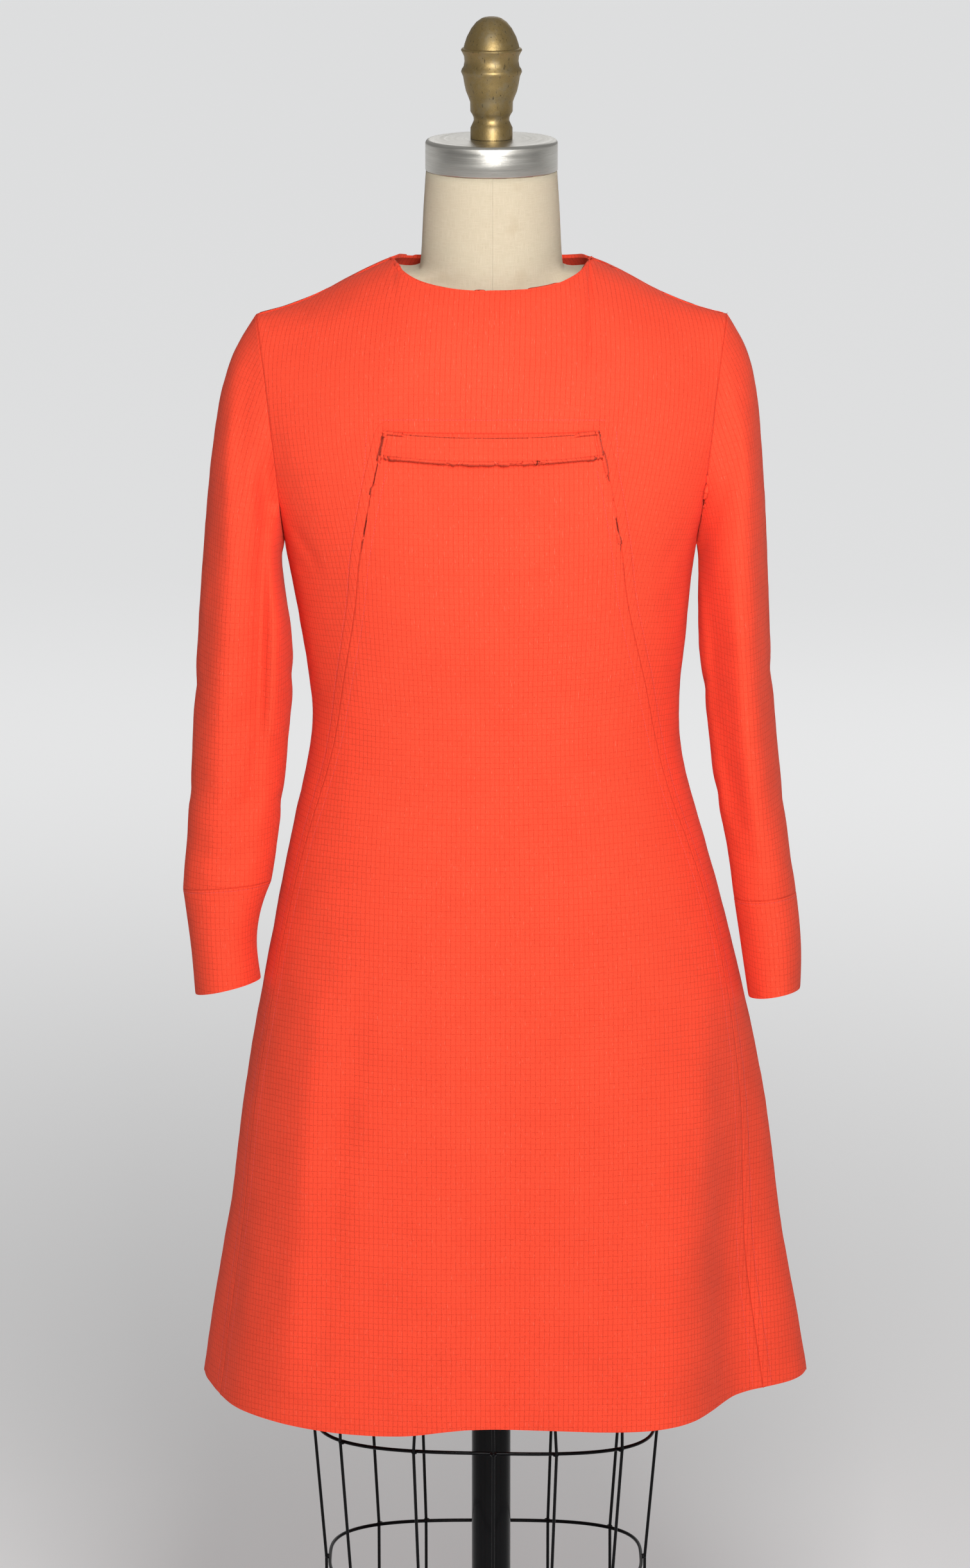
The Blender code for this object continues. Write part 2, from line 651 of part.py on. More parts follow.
def make_backs():
    """Two backs, with a seam down the middle."""
    left, right = [], []
    for level in BODY_LEVELS + upper_levels():
        angles = back_angles(level)
        left.append([(angle, shoulder_parting(level)) for angle in angles])
        right.append([(2 * math.pi - angle, shoulder_parting(level)) for angle in reversed(angles)])
    body_panel("back_left", left, False)
    body_panel("back_right", right, False)


# ------------------------------------------------------------------ sleeves

def armhole_loop(side):
    """Points of the armhole's edge, from the underarm up the front to the shoulder and down the back."""
    levels = [level for level in BODY_LEVELS if level >= UNDERARM_Z] + upper_levels()
    front = [body_point(side * math.pi / 2 - side * 1e-9, level) for level in levels]
    back = [body_point(side * math.pi / 2 + side * 1e-9, level) for level in levels]
    loop = front + back[-2:0:-1]
    doubled = []
    for here, after in zip(loop, loop[1:] + loop[:1]):
        doubled += [here, (here + after) / 2]
    return doubled


def ring_turns(loop):
    """The angle of each point of the armhole round its middle: 0 at the shoulder, 90 at the front."""
    top, foot = max(p.z for p in loop), min(p.z for p in loop)
    half = (top - foot) / 2
    deep = max(abs(p.y) for p in loop)
    turns = []
    for point in loop:
        turns.append(math.atan2(-point.y / deep, (point.z - foot - half) / half) % (2 * math.pi))
    return turns


def ring_point(side, ring, turn, push):
    """A point of a sleeve's ring, pushed out by its folds."""
    outer = Vector((side * ring.outer_x, 0, ring.outer_z))
    inner = Vector((side * ring.inner_x, 0, ring.inner_z))
    middle = (outer + inner) / 2
    middle.y = (ring.back - ring.front) / 2
    across = (outer - inner) / 2
    deep = (ring.front + ring.back) / 2
    spoke = across * math.cos(turn) + Vector((0, -deep * math.sin(turn), ring.lift * math.sin(turn)))
    return middle + spoke + spoke.normalized() * push


def sleeve_push(folds, turn, row):
    push = 0.0
    for fold in folds:
        along = ease((row - fold.first) / 1.5) * ease((fold.last - row) / 1.5)
        away = (math.degrees(turn) - fold.angle + 180) % 360 - 180
        push += fold.out * along * bump(away, fold.half_width)
    return push


def grid_normals(points):
    """The way out at each point of a grid that closes on itself round its rings."""
    rows, columns = len(points), len(points[0])
    normals = []
    for row in range(rows):
        below, above = points[min(row + 1, rows - 1)], points[max(row - 1, 0)]
        normals.append([(points[row][(c + 1) % columns] - points[row][c - 1]).cross(
            above[c] - below[c]).normalized() for c in range(columns)])
    return normals


def upright(normal, side):
    """The normal at the armhole, turned so that the wall's end doesn't lean into the body."""
    if normal.x * side > 0:
        normal.x = 0
    return normal.normalized()


def make_arm(word, side, sleeve_rings, cuff_rings, folds):
    """A sleeve and its cuff, worked out as one tube and parted at the cuff's seam."""
    loop = armhole_loop(side)
    turns = ring_turns(loop)
    rings = sleeve_rings + cuff_rings
    grid = [[point + Vector((side * SEAM_GAP * 1.5, 0, 0)) for point in loop]]
    for row, ring in enumerate(rings, start=1):
        blend = ease(row / 3.5)
        points = []
        for turn, edge in zip(turns, loop):
            even = ring_point(side, ring, turn, sleeve_push(folds, turn, row))
            plain = ring_point(side, ring, turn, 0)
            follow = edge + (plain - ring_point(side, ARMHOLE_RING, turn, 0))
            points.append(follow.lerp(even, blend))
        grid.append(points)
    if side < 0:
        grid = [row[::-1] for row in grid]
    normals = grid_normals(grid)
    normals[0] = [upright(normal, side) for normal in normals[0]]
    inner = [[p - CLOTH * n for p, n in zip(row, ns)] for row, ns in zip(grid, normals)]
    split = len(sleeve_rings)
    drop = Vector((0, 0, -SEAM_GAP))
    for name, first, last in ((f"sleeve_{word}", 0, split), (f"cuff_{word}", split, len(rings))):
        outside = [list(row) for row in grid[first:last + 1]]
        inside = [list(row) for row in inner[first:last + 1]]
        if first:
            outside[0] = [p + drop for p in outside[0]]
            inside[0] = [p + drop for p in inside[0]]
        wall(name, outside[::-1], inside[::-1], "wool_crepe", WOOL, around=True)


# ------------------------------------------------------------------ what lies on the panels

def make_chest_band():
    """A narrow band over the chest seam, made from the front's own points moved out."""
    rows = 3
    outer, inner = [], []
    angles = centre_angles(CHEST_SEAM_Z, 0)
    for row in range(rows + 1):
        down = 1 - row / rows
        outer.append([])
        inner.append([])
        for angle in angles:
            middle = 1 - (angle / angles[-1]) ** 2
            level = CHEST_SEAM_Z - BAND_HEIGHT * down - BAND_SAG * middle
            point, out = body_point(angle, level), body_normal(angle, level, True)
            lift = BAND_GAP + BAND_STAND_OFF * middle
            inner[-1].append(point + out * lift)
            outer[-1].append(point + out * (lift + CLOTH))
    wall("chest_band", outer, inner, "wool_crepe", WOOL)


def back_grid_point(x, level, depth):
    """A point on the flat face between a back's first two columns, moved in through the cloth."""
    angles = back_angles(level)
    seam, beside = angles[-1], angles[-2]
    places = []
    for angle in (seam, beside):
        place = body_point(angle, level) - depth * body_normal(angle, level, False)
        places.append(place)
    share = (abs(x) - places[0].x) / (places[1].x - places[0].x)
    found = places[0].lerp(places[1], share)
    return Vector((x, found.y, found.z))


def make_zip_tape():
    """The zip's tape and chain, behind the centre-back seam."""
    levels = [level for level in BODY_LEVELS if level >= ZIP_FOOT] + upper_levels()[:-1]
    outer, inner = [], []
    for level in levels:
        places = [ZIP_HALF_WIDTH * (1 - column) for column in range(3)]
        outer.append([back_grid_point(x, level, CLOTH + SEAM_GAP) for x in places])
        inner.append([back_grid_point(x, level, CLOTH + SEAM_GAP + TAPE) for x in places])
    wall("zip_tape", outer, inner, "zip_tape", TAPE_RED)


# ------------------------------------------------------------------ zip slider and its pull tab

def slider_frame():
    """A matrix for the slider: X across, Y away from the cloth, Z up along the zip."""
    angles = back_angles(SLIDER_AT)
    point = body_point(angles[-1], SLIDER_AT)
    out = body_normal(math.pi, SLIDER_AT, False)
    out = Vector((0, out.y, out.z)).normalized()
    along = Vector((1, 0, 0)).cross(out)
    turn = Matrix((Vector((1, 0, 0)), out, along)).transposed().to_4x4()
    return Matrix.Translation(Vector((0, point.y, point.z)) + out * SLIDER_GAP) @ turn


def outline(name, loops, thickness):
    """A flat plate in the XY plane, from its outline and any holes."""
    flat = bpy.data.curves.new(name, "CURVE")
    flat.dimensions = "2D"
    flat.fill_mode = "BOTH"
    flat.extrude = thickness / 2
    for loop in loops:
        line = flat.splines.new("POLY")
        line.points.add(len(loop) - 1)
        for place, (x, y) in zip(line.points, loop):
            place.co = (x, y, 0, 1)
        line.use_cyclic_u = True
    return flat


def round_outline(width, low, high, corner, steps=4):
    """A rectangle's outline with round corners."""
    loop = []
    for middle_x, middle_y, start in ((width / 2 - corner, high - corner, 0),
                                      (corner - width / 2, high - corner, 90),
                                      (corner - width / 2, low + corner, 180),
                                      (width / 2 - corner, low + corner, 270)):
        for step in range(steps):
            angle = math.radians(start + 90 * step / (steps - 1))
            loop.append((middle_x + corner * math.cos(angle), middle_y + corner * math.sin(angle)))
    return loop


def curve_to_mesh(name, curve, place):
    """The curve's mesh with its caps welded, set in place."""
    holder = bpy.data.objects.new(f"{name}_curve", curve)
    bpy.context.scene.collection.objects.link(holder)
    mesh = bpy.data.meshes.new_from_object(holder.evaluated_get(bpy.context.evaluated_depsgraph_get()))
    bpy.data.objects.remove(holder, do_unlink=True)
    sheet = bmesh.new()
    sheet.from_mesh(mesh)
    bmesh.ops.remove_doubles(sheet, verts=sheet.verts, dist=WELD)
    sheet.to_mesh(mesh)
    sheet.free()
    mesh.transform(place)
    mesh.name = name
    return mesh


def join(part, other):
    """Joins another mesh to a part as one body."""
    CUTTERS.objects.link(other)
    other.hide_render = True
    other.display_type = "WIRE"
    union = part.modifiers.new("join", "BOOLEAN")
    union.operation = "UNION"
    union.object = other


def make_zip_slider(frame):
    """The slider's plate, with the bridge that holds the pull tab's eye."""
    flat = outline("zip_slider", [round_outline(SLIDER_WIDTH, -SLIDER_LENGTH / 2, SLIDER_LENGTH / 2, 0.0018)],
                   SLIDER_HEIGHT)
    lay = Matrix.Translation((0, SLIDER_HEIGHT / 2, 0)) @ Matrix.Rotation(math.radians(90), 4, "X")
    plate = add_object("zip_slider", curve_to_mesh("zip_slider", flat, frame @ lay), "nickel", STEEL)
    half = BRIDGE_LENGTH / 2
    foot, top = SLIDER_HEIGHT / 2, SLIDER_HEIGHT + BRIDGE_HEIGHT
    arch = [(-half, foot), (half, foot), (half, top - BRIDGE_BAR), (half - BRIDGE_BAR, top),
            (BRIDGE_BAR - half, top), (-half, top - BRIDGE_BAR)]
    inside = half - BRIDGE_BAR
    hole = [(-inside, SLIDER_HEIGHT + 0.0002), (inside, SLIDER_HEIGHT + 0.0002),
            (inside, top - BRIDGE_BAR), (-inside, top - BRIDGE_BAR)]
    stand = Matrix(((0, 0, 1), (0, 1, 0), (1, 0, 0))).to_4x4()
    bridge = bpy.data.objects.new("bridge_cutter", curve_to_mesh(
        "bridge", outline("bridge", [arch, hole], BRIDGE_WIDTH), frame @ stand))
    join(plate, bridge)


def make_zip_pull(frame):
    """The pull tab, hanging from the bridge by the bar of its eye."""
    top = PULL_BAR / 2
    tab = round_outline(PULL_WIDTH, top - PULL_LENGTH, top, 0.0010)
    eye = round_outline(EYE_WIDTH, top - PULL_BAR - EYE_LENGTH, top - PULL_BAR, 0.0004)
    lay = Matrix.Rotation(math.radians(90), 4, "X")
    lean = Matrix.Rotation(math.radians(PULL_TILT), 4, "X")
    pivot = frame @ Matrix.Translation((0, PIVOT_HEIGHT, PIVOT_RISE)) @ lean
    tab_curve = outline("zip_pull", [tab, eye[::-1]], PULL_BAR)
    mesh = curve_to_mesh("zip_pull", tab_curve, Matrix.Identity(4))
    mesh.transform(lay)
    pull = add_object("zip_pull", mesh, "nickel", STEEL)
    pull.matrix_world = pivot


# ------------------------------------------------------------------ dress form and stand

def form_ring(z, half):
    """One level ring of the torso: the rounded oval, rolled over towards the shoulders as the dress is,
    and never inside the neck."""
    points = []
    neck = NECK_RADIUS if z > NECK_FOOT_Z else 0.0
    whole = max(smooth(FORM_TORSO, "whole", z), half + FORM_RIDGE)
    for column in range(FORM_COLUMNS):
        angle = 2 * math.pi * (column + 0.5) / FORM_COLUMNS
        front = math.cos(angle) > 0
        share = oval_share(angle)
        x = math.copysign(share * half, math.sin(angle))
        depth = smooth(FORM_TORSO, "front" if front else "back", z)
        depth *= (1 - (abs(x) / whole) ** OVAL) ** (1 / OVAL)
        depth *= roll_cosine(x, z, FRONT_ROLL if front else BACK_ROLL, FORM_SINK)
        column_depth = math.sqrt(max(neck ** 2 - x ** 2, 0.0))
        depth = (depth ** 12 + column_depth ** 12) ** (1 / 12)
        points.append(Vector((x, -depth if front else depth, z)))
    return points


def make_form_torso():
    """The padded torso and neck in one, with a flat underside."""
    rings = [form_ring(z, smooth(FORM_TORSO, "half", z)) for z in FORM_LEVELS]
    for x in FORM_SHOULDERS:
        z = smooth(SHOULDER, "z", x) - FORM_SINK
        rings.append(form_ring(z, x - FORM_RIDGE))
    for neck in NECK_RINGS:
        turns = [2 * math.pi * (column + 0.5) / FORM_COLUMNS for column in range(FORM_COLUMNS)]
        rings.append([Vector((neck.half_width * math.sin(turn), -neck.half_depth * math.cos(turn), neck.z))
                      for turn in turns])
    loft("form_torso", rings, "linen", LINEN)


def loft(name, rings, finish_name, finish):
    """A solid through level rings of equal counts, closed flat at both ends."""
    sheet = bmesh.new()
    layers = [[sheet.verts.new(point) for point in ring] for ring in rings]
    count = len(rings[0])
    for low, high in zip(layers, layers[1:]):
        for i in range(count):
            after = (i + 1) % count
            sheet.faces.new((low[i], low[after], high[after], high[i]))
    sheet.faces.new(reversed(layers[0]))
    sheet.faces.new(layers[-1])
    mesh = bpy.data.meshes.new(name)
    sheet.to_mesh(mesh)
    sheet.free()
    mesh.shade_smooth()
    mesh.set_sharp_from_angle(angle=math.radians(SHARP_ANGLE))
    return add_object(name, mesh, finish_name, finish)


def turned(name, profile, finish_name, finish, steps=32, at=(0, 0, 0)):
    """A turned solid: the profile runs down its outside from the axis at the top to the axis at the foot."""
    mesh = bpy.data.meshes.new(name)
    places = [(radius, 0, z) for radius, z in profile]
    mesh.from_pydata(places, [(i, i + 1) for i in range(len(places) - 1)], [])
    part = add_object(name, mesh, finish_name, finish)
    part.location = at
    screw = part.modifiers.new("turn", "SCREW")
    screw.steps = steps
    screw.render_steps = steps
    screw.use_merge_vertices = True
    screw.merge_threshold = WELD
    return part


def make_neck_cap():
    low = NECK_RINGS[-1].z + FIT_GAP
    profile = [(0, CAP_TOP_Z), (CAP_RADIUS - 0.0045, CAP_TOP_Z), (CAP_RADIUS - 0.0018, CAP_TOP_Z - 0.0006),
               (CAP_RADIUS - 0.0005, CAP_TOP_Z - 0.0020), (CAP_RADIUS, CAP_TOP_Z - 0.0045),
               (CAP_RADIUS, low), (0, low)]
    turned("neck_cap", profile, "brushed_steel", STEEL, steps=36)


def make_finial():
    """A small turned urn on the cap."""
    foot = CAP_TOP_Z + FIT_GAP
    profile = [(point.radius, foot + point.rise) for point in FINIAL]
    turned("finial", [(0, foot + FINIAL[0].rise)] + profile + [(0, foot)], "aged_brass", BRASS, steps=20)


def make_base():
    """A round cast base with a socket for the pole."""
    socket = POLE_RADIUS + FIT_GAP
    profile = [(0, BASE_FLOOR), (socket, BASE_FLOOR), (socket, HUB_TOP), (HUB_RADIUS - 0.002, HUB_TOP),
               (HUB_RADIUS, HUB_TOP - 0.002), (HUB_RADIUS, 0.030), (HUB_RADIUS + 0.012, 0.025),
               (BASE_RADIUS * 0.6, 0.020), (BASE_RADIUS - 0.006, 0.012), (BASE_RADIUS, 0.008),
               (BASE_RADIUS, 0), (0, 0)]
    turned("base", profile, "black_gloss", BLACK, steps=40)


def make_pole():
    low, high = BASE_FLOOR + FIT_GAP, FORM_LEVELS[0] - FIT_GAP
    bpy.ops.mesh.primitive_cylinder_add(vertices=32, radius=POLE_RADIUS, depth=high - low,
                                        location=(0, 0, (low + high) / 2))
    made = bpy.context.object
    mesh = made.data
    bpy.data.objects.remove(made, do_unlink=True)
    mesh.shade_smooth()
    mesh.set_sharp_from_angle(angle=math.radians(SHARP_ANGLE))
    pole = add_object("pole", mesh, "black_gloss", BLACK)
    pole.location = (0, 0, (low + high) / 2)


def wire_line(name, places, radius, closed=False):
    """A curve with round wire along it."""
    line = bpy.data.curves.new(name, "CURVE")
    line.dimensions = "3D"
    line.bevel_depth = radius
    line.bevel_resolution = 1
    line.use_fill_caps = not closed
    spline = line.splines.new("POLY")
    spline.points.add(len(places) - 1)
    for point, place in zip(spline.points, places):
        point.co = (*place, 1)
    spline.use_cyclic_u = closed
    return line


def oval_place(level, turn, beyond=0.0):
    """A place on a cage level's rounded oval, or beyond it by a distance. The turn starts at the front."""
    across = math.copysign(abs(math.sin(turn)) ** (2 / level.power), math.sin(turn))
    deep = math.copysign(abs(math.cos(turn)) ** (2 / level.power), math.cos(turn))
    return Vector((CAGE_X + (level.half_width + beyond) * across, -(level.half_depth + beyond) * deep,
                   level.z - level.fall * across))


def upright_turn(upright):
    turn = math.asin(abs(upright.share) ** (CAGE_RINGS[0].power / 2))
    turn = math.copysign(turn, upright.share)
    return turn if upright.side < 0 else math.pi - turn


def upright_places(upright):
    """The line of an upright wire, outside the rings. It sinks a little into the ring it is welded to."""
    turn = upright_turn(upright)
    places = [oval_place(CAGE_TOP, turn)]
    for number, level in enumerate(CAGE_RINGS, start=1):
        beyond = RING_RADIUS + UPRIGHT_RADIUS + (-WELD_DEPTH if number == upright.welded else FIT_GAP)
        places.append(oval_place(level, turn, beyond))
    return places + [places[-1] + Vector((0, 0, CAGE_FOOT_Z - places[-1].z))]


def make_cage():
    """Three level rings, each welded to one upright wire, and nine more uprights that hang from the torso."""
    still = Matrix.Identity(4)
    number = 0
    for upright in UPRIGHTS:
        line = wire_line("upright", upright_places(upright), UPRIGHT_RADIUS)
        if not upright.welded:
            number += 1
            line.name = f"cage_wire_{number}"
            add_object(f"cage_wire_{number}", line, "black_gloss", BLACK)
            continue
        level = CAGE_RINGS[upright.welded - 1]
        name = f"cage_ring_{upright.welded}"
        turns = [2 * math.pi * (i + 0.5) / CAGE_STEPS for i in range(CAGE_STEPS)]
        hoop = wire_line(name, [oval_place(level, turn) for turn in turns], RING_RADIUS, closed=True)
        ring = add_object(name, curve_to_mesh(name, hoop, still), "black_gloss", BLACK)
        rod = bpy.data.objects.new(f"upright_{upright.welded}_cutter", curve_to_mesh("upright", line, still))
        join(ring, rod)


def build_all():
    make_fronts()
    make_backs()
    make_arm("right", -1, SLEEVE_RIGHT, CUFF_RIGHT, FOLDS_RIGHT)
    make_arm("left", 1, SLEEVE_LEFT, CUFF_LEFT, FOLDS_LEFT)
    make_chest_band()
    make_zip_tape()
    frame = slider_frame()
    make_zip_slider(frame)
    make_zip_pull(frame)
    make_form_torso()
    make_neck_cap()
    make_finial()
    make_pole()
    make_cage()
    make_base()


clear_scene()
PARTS = bpy.data.collections.new("shift_dress")
CUTTERS = bpy.data.collections.new("cutters")
for group in (PARTS, CUTTERS):
    bpy.context.scene.collection.children.link(group)
build_all()
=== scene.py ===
# %% [markdown]
# # A wool shift dress on a dress form
#
# The dress is sewn from nine pieces of a crepe wool: a centre front, an upper front cut in one with both
# side fronts, two backs, two sleeves, two cuffs and a narrow band across the chest. It hangs on a linen
# covered dress form with a steel neck cap, a turned finial, a pole, a wire cage and a cast base.
#
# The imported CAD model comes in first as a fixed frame. Every finished piece below is then made over the
# CAD solid that it stands for, so that nothing has to be fitted afterwards.

import math
from collections import namedtuple
from contextlib import contextmanager

import bmesh
import bpy
import numpy as np
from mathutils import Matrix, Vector, noise
from mathutils.bvhtree import BVHTree
from mathutils.kdtree import KDTree


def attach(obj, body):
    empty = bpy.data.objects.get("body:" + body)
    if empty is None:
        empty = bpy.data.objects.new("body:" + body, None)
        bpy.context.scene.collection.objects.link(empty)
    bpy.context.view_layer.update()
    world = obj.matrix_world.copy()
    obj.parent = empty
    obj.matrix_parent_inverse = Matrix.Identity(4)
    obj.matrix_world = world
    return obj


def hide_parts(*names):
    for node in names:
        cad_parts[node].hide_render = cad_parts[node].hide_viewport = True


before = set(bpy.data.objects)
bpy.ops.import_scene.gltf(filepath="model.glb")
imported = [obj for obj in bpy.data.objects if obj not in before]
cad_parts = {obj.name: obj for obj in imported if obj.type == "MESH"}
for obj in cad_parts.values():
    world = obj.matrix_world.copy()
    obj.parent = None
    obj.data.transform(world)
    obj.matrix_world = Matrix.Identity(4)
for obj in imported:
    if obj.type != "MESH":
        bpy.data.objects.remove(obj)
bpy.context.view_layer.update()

# %% [markdown]
# ## The camera
#
# A 136 mm lens, 5 m in front of the form and half a metre above its finial, looks down by 13.5 degrees. A
# long lens keeps the shoulders and the hem in nearly the same scale. The camera could track a target with a
# constraint, but its place and its pitch say the same as fixed numbers and can't drift.

# %% Camera
CAMERA_PLACE = (-0.0055, -5.0, 2.20)
CAMERA_PITCH = 13.5
CAMERA_LENS = 136.3

bpy.ops.object.camera_add(location=CAMERA_PLACE, rotation=(math.radians(90 - CAMERA_PITCH), 0, 0))
camera = bpy.context.object
camera.data.lens = CAMERA_LENS
camera.data.sensor_width = 36
bpy.context.scene.camera = camera
print("camera", tuple(round(v, 3) for v in camera.location))

# %% [markdown]
# ## Colours and shader nodes
#
# A grey card and a paint chart both give sRGB values, and Blender's shaders work in linear light, so one
# function does that step. Node trees written out in Python get long. Here a recipe holds one tree, and its
# one small function adds a node with its settings and inputs and gives back the socket that comes out, so a
# material reads like a list of steps. Whatever goes in may be a socket, which is linked, or a value.

# %% Colours and recipes
def linear(hex_colour):
    """An sRGB hex colour such as ff5540 as linear red, green, blue and alpha."""
    channels = [int(hex_colour[i:i + 2], 16) / 255 for i in (0, 2, 4)]
    return tuple(c / 12.92 if c <= 0.04045 else ((c + 0.055) / 1.055) ** 2.4 for c in channels) + (1.0,)


class Recipe:
    """The node tree of a material or a world, built up one step at a time."""

    def __init__(self, owner):
        owner.use_nodes = True
        self.owner, self.tree = owner, owner.node_tree
        self.place = self.add("TexCoord", output="Object")

    def put(self, entry, value):
        """Links a socket to an input, or sets the input to a number, a vector or a hex colour."""
        if isinstance(value, bpy.types.NodeSocket):
            self.tree.links.new(value, entry)
        else:
            entry.default_value = linear(value) if isinstance(value, str) else value

    def add(self, kind, inputs=(), output=0, **settings):
        """Adds a node and gives back one of its outputs, or all of them for None.

        Its inputs are a row in the node's own order, or {name or number: input}.
        """
        node = self.tree.nodes.new("ShaderNode" + kind)
        for key, value in settings.items():
            setattr(node, key, value)
        for key, value in (inputs if isinstance(inputs, dict) else dict(enumerate(inputs))).items():
            self.put(node.inputs[key], value)
        return node.outputs if output is None else node.outputs[output]

    def finish(self, shader="Principled BSDF", **inputs):
        """Feeds the shader. Underscores stand for spaces in an input's name."""
        for key, value in inputs.items():
            self.put(self.tree.nodes[shader].inputs[key.replace("_", " ")], value)
        return self.owner


# settings that many nodes share
TIMES, PLUS = {"operation": "MULTIPLY"}, {"operation": "ADD"}
SOFT = {"interpolation_type": "SMOOTHSTEP"}
COLOURS = {"data_type": "RGBA", "output": 2}
MM = (1000, 1000, 1000)


def material(name):
    return Recipe(bpy.data.materials.new(name))


print("sRGB ff5540 in linear light:", [round(v, 3) for v in linear("ff5540")[:3]])

# %% [markdown]
# ## The wool
#
# Wool crepe is spun from hard-twisted yarn. The twist makes it spring up into fine grains, so the cloth is
# dull and pebbly, and short loose fibres stand on it and catch light at grazing angles, which turns every
# edge paler. This one has a woven-in windowpane: every 4.2 mm across and 5 mm down a thread floats a little
# lower and draws a thin dotted line, darker than the rest.
#
# The lines have to follow the grain of each cut piece, so they are drawn on the piece's own UV map, which is
# laid flat at full size in metres. An image texture would need a file. Noise and maths nodes draw the same
# weave at any size. The fine diagonal rib is 0.9 mm apart.

# %% Wool crepe
PANE_LINE_MM = 0.55        # a drawn line, as wide as one thread
RIB_MM = 0.9
# the wool's red, with painted light for the crests of the crepe grain and painted shade for its hollows
WOOL_PAINTED_LIGHT, WOOL_PAINTED_SHADE = "ff5a3e", "ea3a22"
# the drawn lines' tone, which is also painted as shade along the seams, and the pale tone of loose fibres
WOOL_PANE_LINE_AND_SEAM_SHADE, WOOL_TIP = "b8200f", "ff9a84"
# how far apart the drawn lines are, how the noise that breaks them up is stretched, and where it cuts
PANES = [(4.2, (0.25, 1.1, 1), 0.34, 0.58), (5.0, (1.1, 0.25, 1), 0.38, 0.66)]


def wool_crepe():
    """Red-orange wool crepe with its windowpane, ribs, fuzz and pressed seams."""
    wool = material("wool_crepe")
    flat = wool.add("VectorMath", (wool.add("UVMap", uv_map="flat"), (1000, 1000, 0)), **TIMES)
    drift = wool.add("TexNoise", {"Vector": flat, "Scale": 0.06}, "Color")
    drift = wool.add("VectorMath", (drift, (1.4, 1.4, 0)), **TIMES)
    axes = wool.add("SeparateXYZ", (wool.add("VectorMath", (flat, drift), **PLUS),), None)
    # a floating thread shows as dashes, where it dips under its neighbours
    dashes = []
    for axis, (apart_mm, stretch, low, high) in zip(axes, PANES):
        fold = wool.add("Math", (axis, apart_mm / 2), operation="PINGPONG")
        line = wool.add("MapRange", (fold, PANE_LINE_MM * 0.2, PANE_LINE_MM * 0.75, 1.0, 0.0), **SOFT)
        stretched = wool.add("Mapping", {"Vector": flat, "Scale": stretch})
        broken = wool.add("TexNoise", {"Vector": stretched, "Scale": 1.0})
        broken = wool.add("MapRange", (broken, low, high, 0.15, 1.0))
        dashes.append(wool.add("Math", (line, broken), **TIMES))
    # above the chest the level threads lie closer and hardly show
    height = wool.add("SeparateXYZ", (wool.place,), "Z")
    showing = wool.add("MapRange", (height, 1.10, 1.38, 1.0, 0.45))
    level = wool.add("Math", (dashes[1], showing), **TIMES)
    pane = wool.add("Math", (dashes[0], level), operation="MAXIMUM")
    # the fine rib runs down to the right
    slant = wool.add("Math", (axes[0], axes[1]), **PLUS)
    rib = wool.add("Math", (slant, RIB_MM * 0.7071), operation="PINGPONG")
    grain = wool.add("TexNoise", {"Vector": flat, "Scale": 1.5, "Detail": 3.0, "Roughness": 0.6})
    mottle = wool.add("TexNoise", {"Vector": flat, "Scale": 0.02, "Detail": 3.0})
    combed = wool.add("Mapping", {"Vector": flat, "Scale": (1.2, 0.12, 1), "Rotation": (0, 0, 0.5)})
    fibre = wool.add("TexNoise", {"Vector": combed, "Scale": 1.3, "Detail": 1.0})
    to_seam, to_stitch = (wool.add("Attribute", output="Fac", attribute_name=name)
                          for name in ("to_seam_mm", "to_stitch_mm"))
    # colour: painted light on the crests, painted shade in the hollows and at sewn seams, darker drawn lines
    colour = wool.add("Mix", {0: grain, 6: WOOL_PAINTED_SHADE, 7: WOOL_PAINTED_LIGHT}, **COLOURS)
    mottled = wool.add("MapRange", (mottle, 0.3, 0.7, 0.95, 1.04))
    colour = wool.add("Mix", {0: 1.0, 6: colour, 7: mottled}, **COLOURS, blend_type="MULTIPLY")
    for share, tone in ((wool.add("Math", (pane, 0.58), **TIMES), WOOL_PANE_LINE_AND_SEAM_SHADE),
                        (wool.add("MapRange", (fibre, 0.66, 0.78, 0.0, 0.28)), WOOL_TIP),
                        # painted shade along a sewn seam
                        (wool.add("MapRange", (to_seam, 0.2, 1.3, 0.50, 0.0), **SOFT), WOOL_PANE_LINE_AND_SEAM_SHADE)):
        colour = wool.add("Mix", {0: share, 6: colour, 7: tone}, **COLOURS)
    # relief, in mm: grains and ribs, the drawn lines sunk, the seams pressed and the stitches pulled in
    from_stitch = wool.add("Math", (to_stitch,), operation="ABSOLUTE")
    relief = wool.add("Math", (grain, 0.34), **TIMES)
    for part in (wool.add("Math", (rib, 0.16), **TIMES),
                 wool.add("Math", (pane, -0.16), **TIMES),
                 wool.add("MapRange", (to_seam, 0.3, 1.8, -0.35, 0.0), **SOFT),
                 wool.add("MapRange", (to_stitch, -1.2, 1.0, 0.35, 0.0), **SOFT),
                 wool.add("MapRange", (from_stitch, 0.0, 1.1, -0.3, 0.0), **SOFT)):
        relief = wool.add("Math", (relief, part), **PLUS)
    grooved = wool.add("Bump", {"Height": relief, "Strength": 0.85, "Distance": 0.001})
    return wool.finish(Base_Color=colour, Normal=grooved, Roughness=0.92, Specular_IOR_Level=0.16,
                       Sheen_Weight=0.09, Sheen_Roughness=0.42, Sheen_Tint="ffb8a4")


crepe = wool_crepe()
print(crepe.name, "has", len(crepe.node_tree.nodes), "nodes")

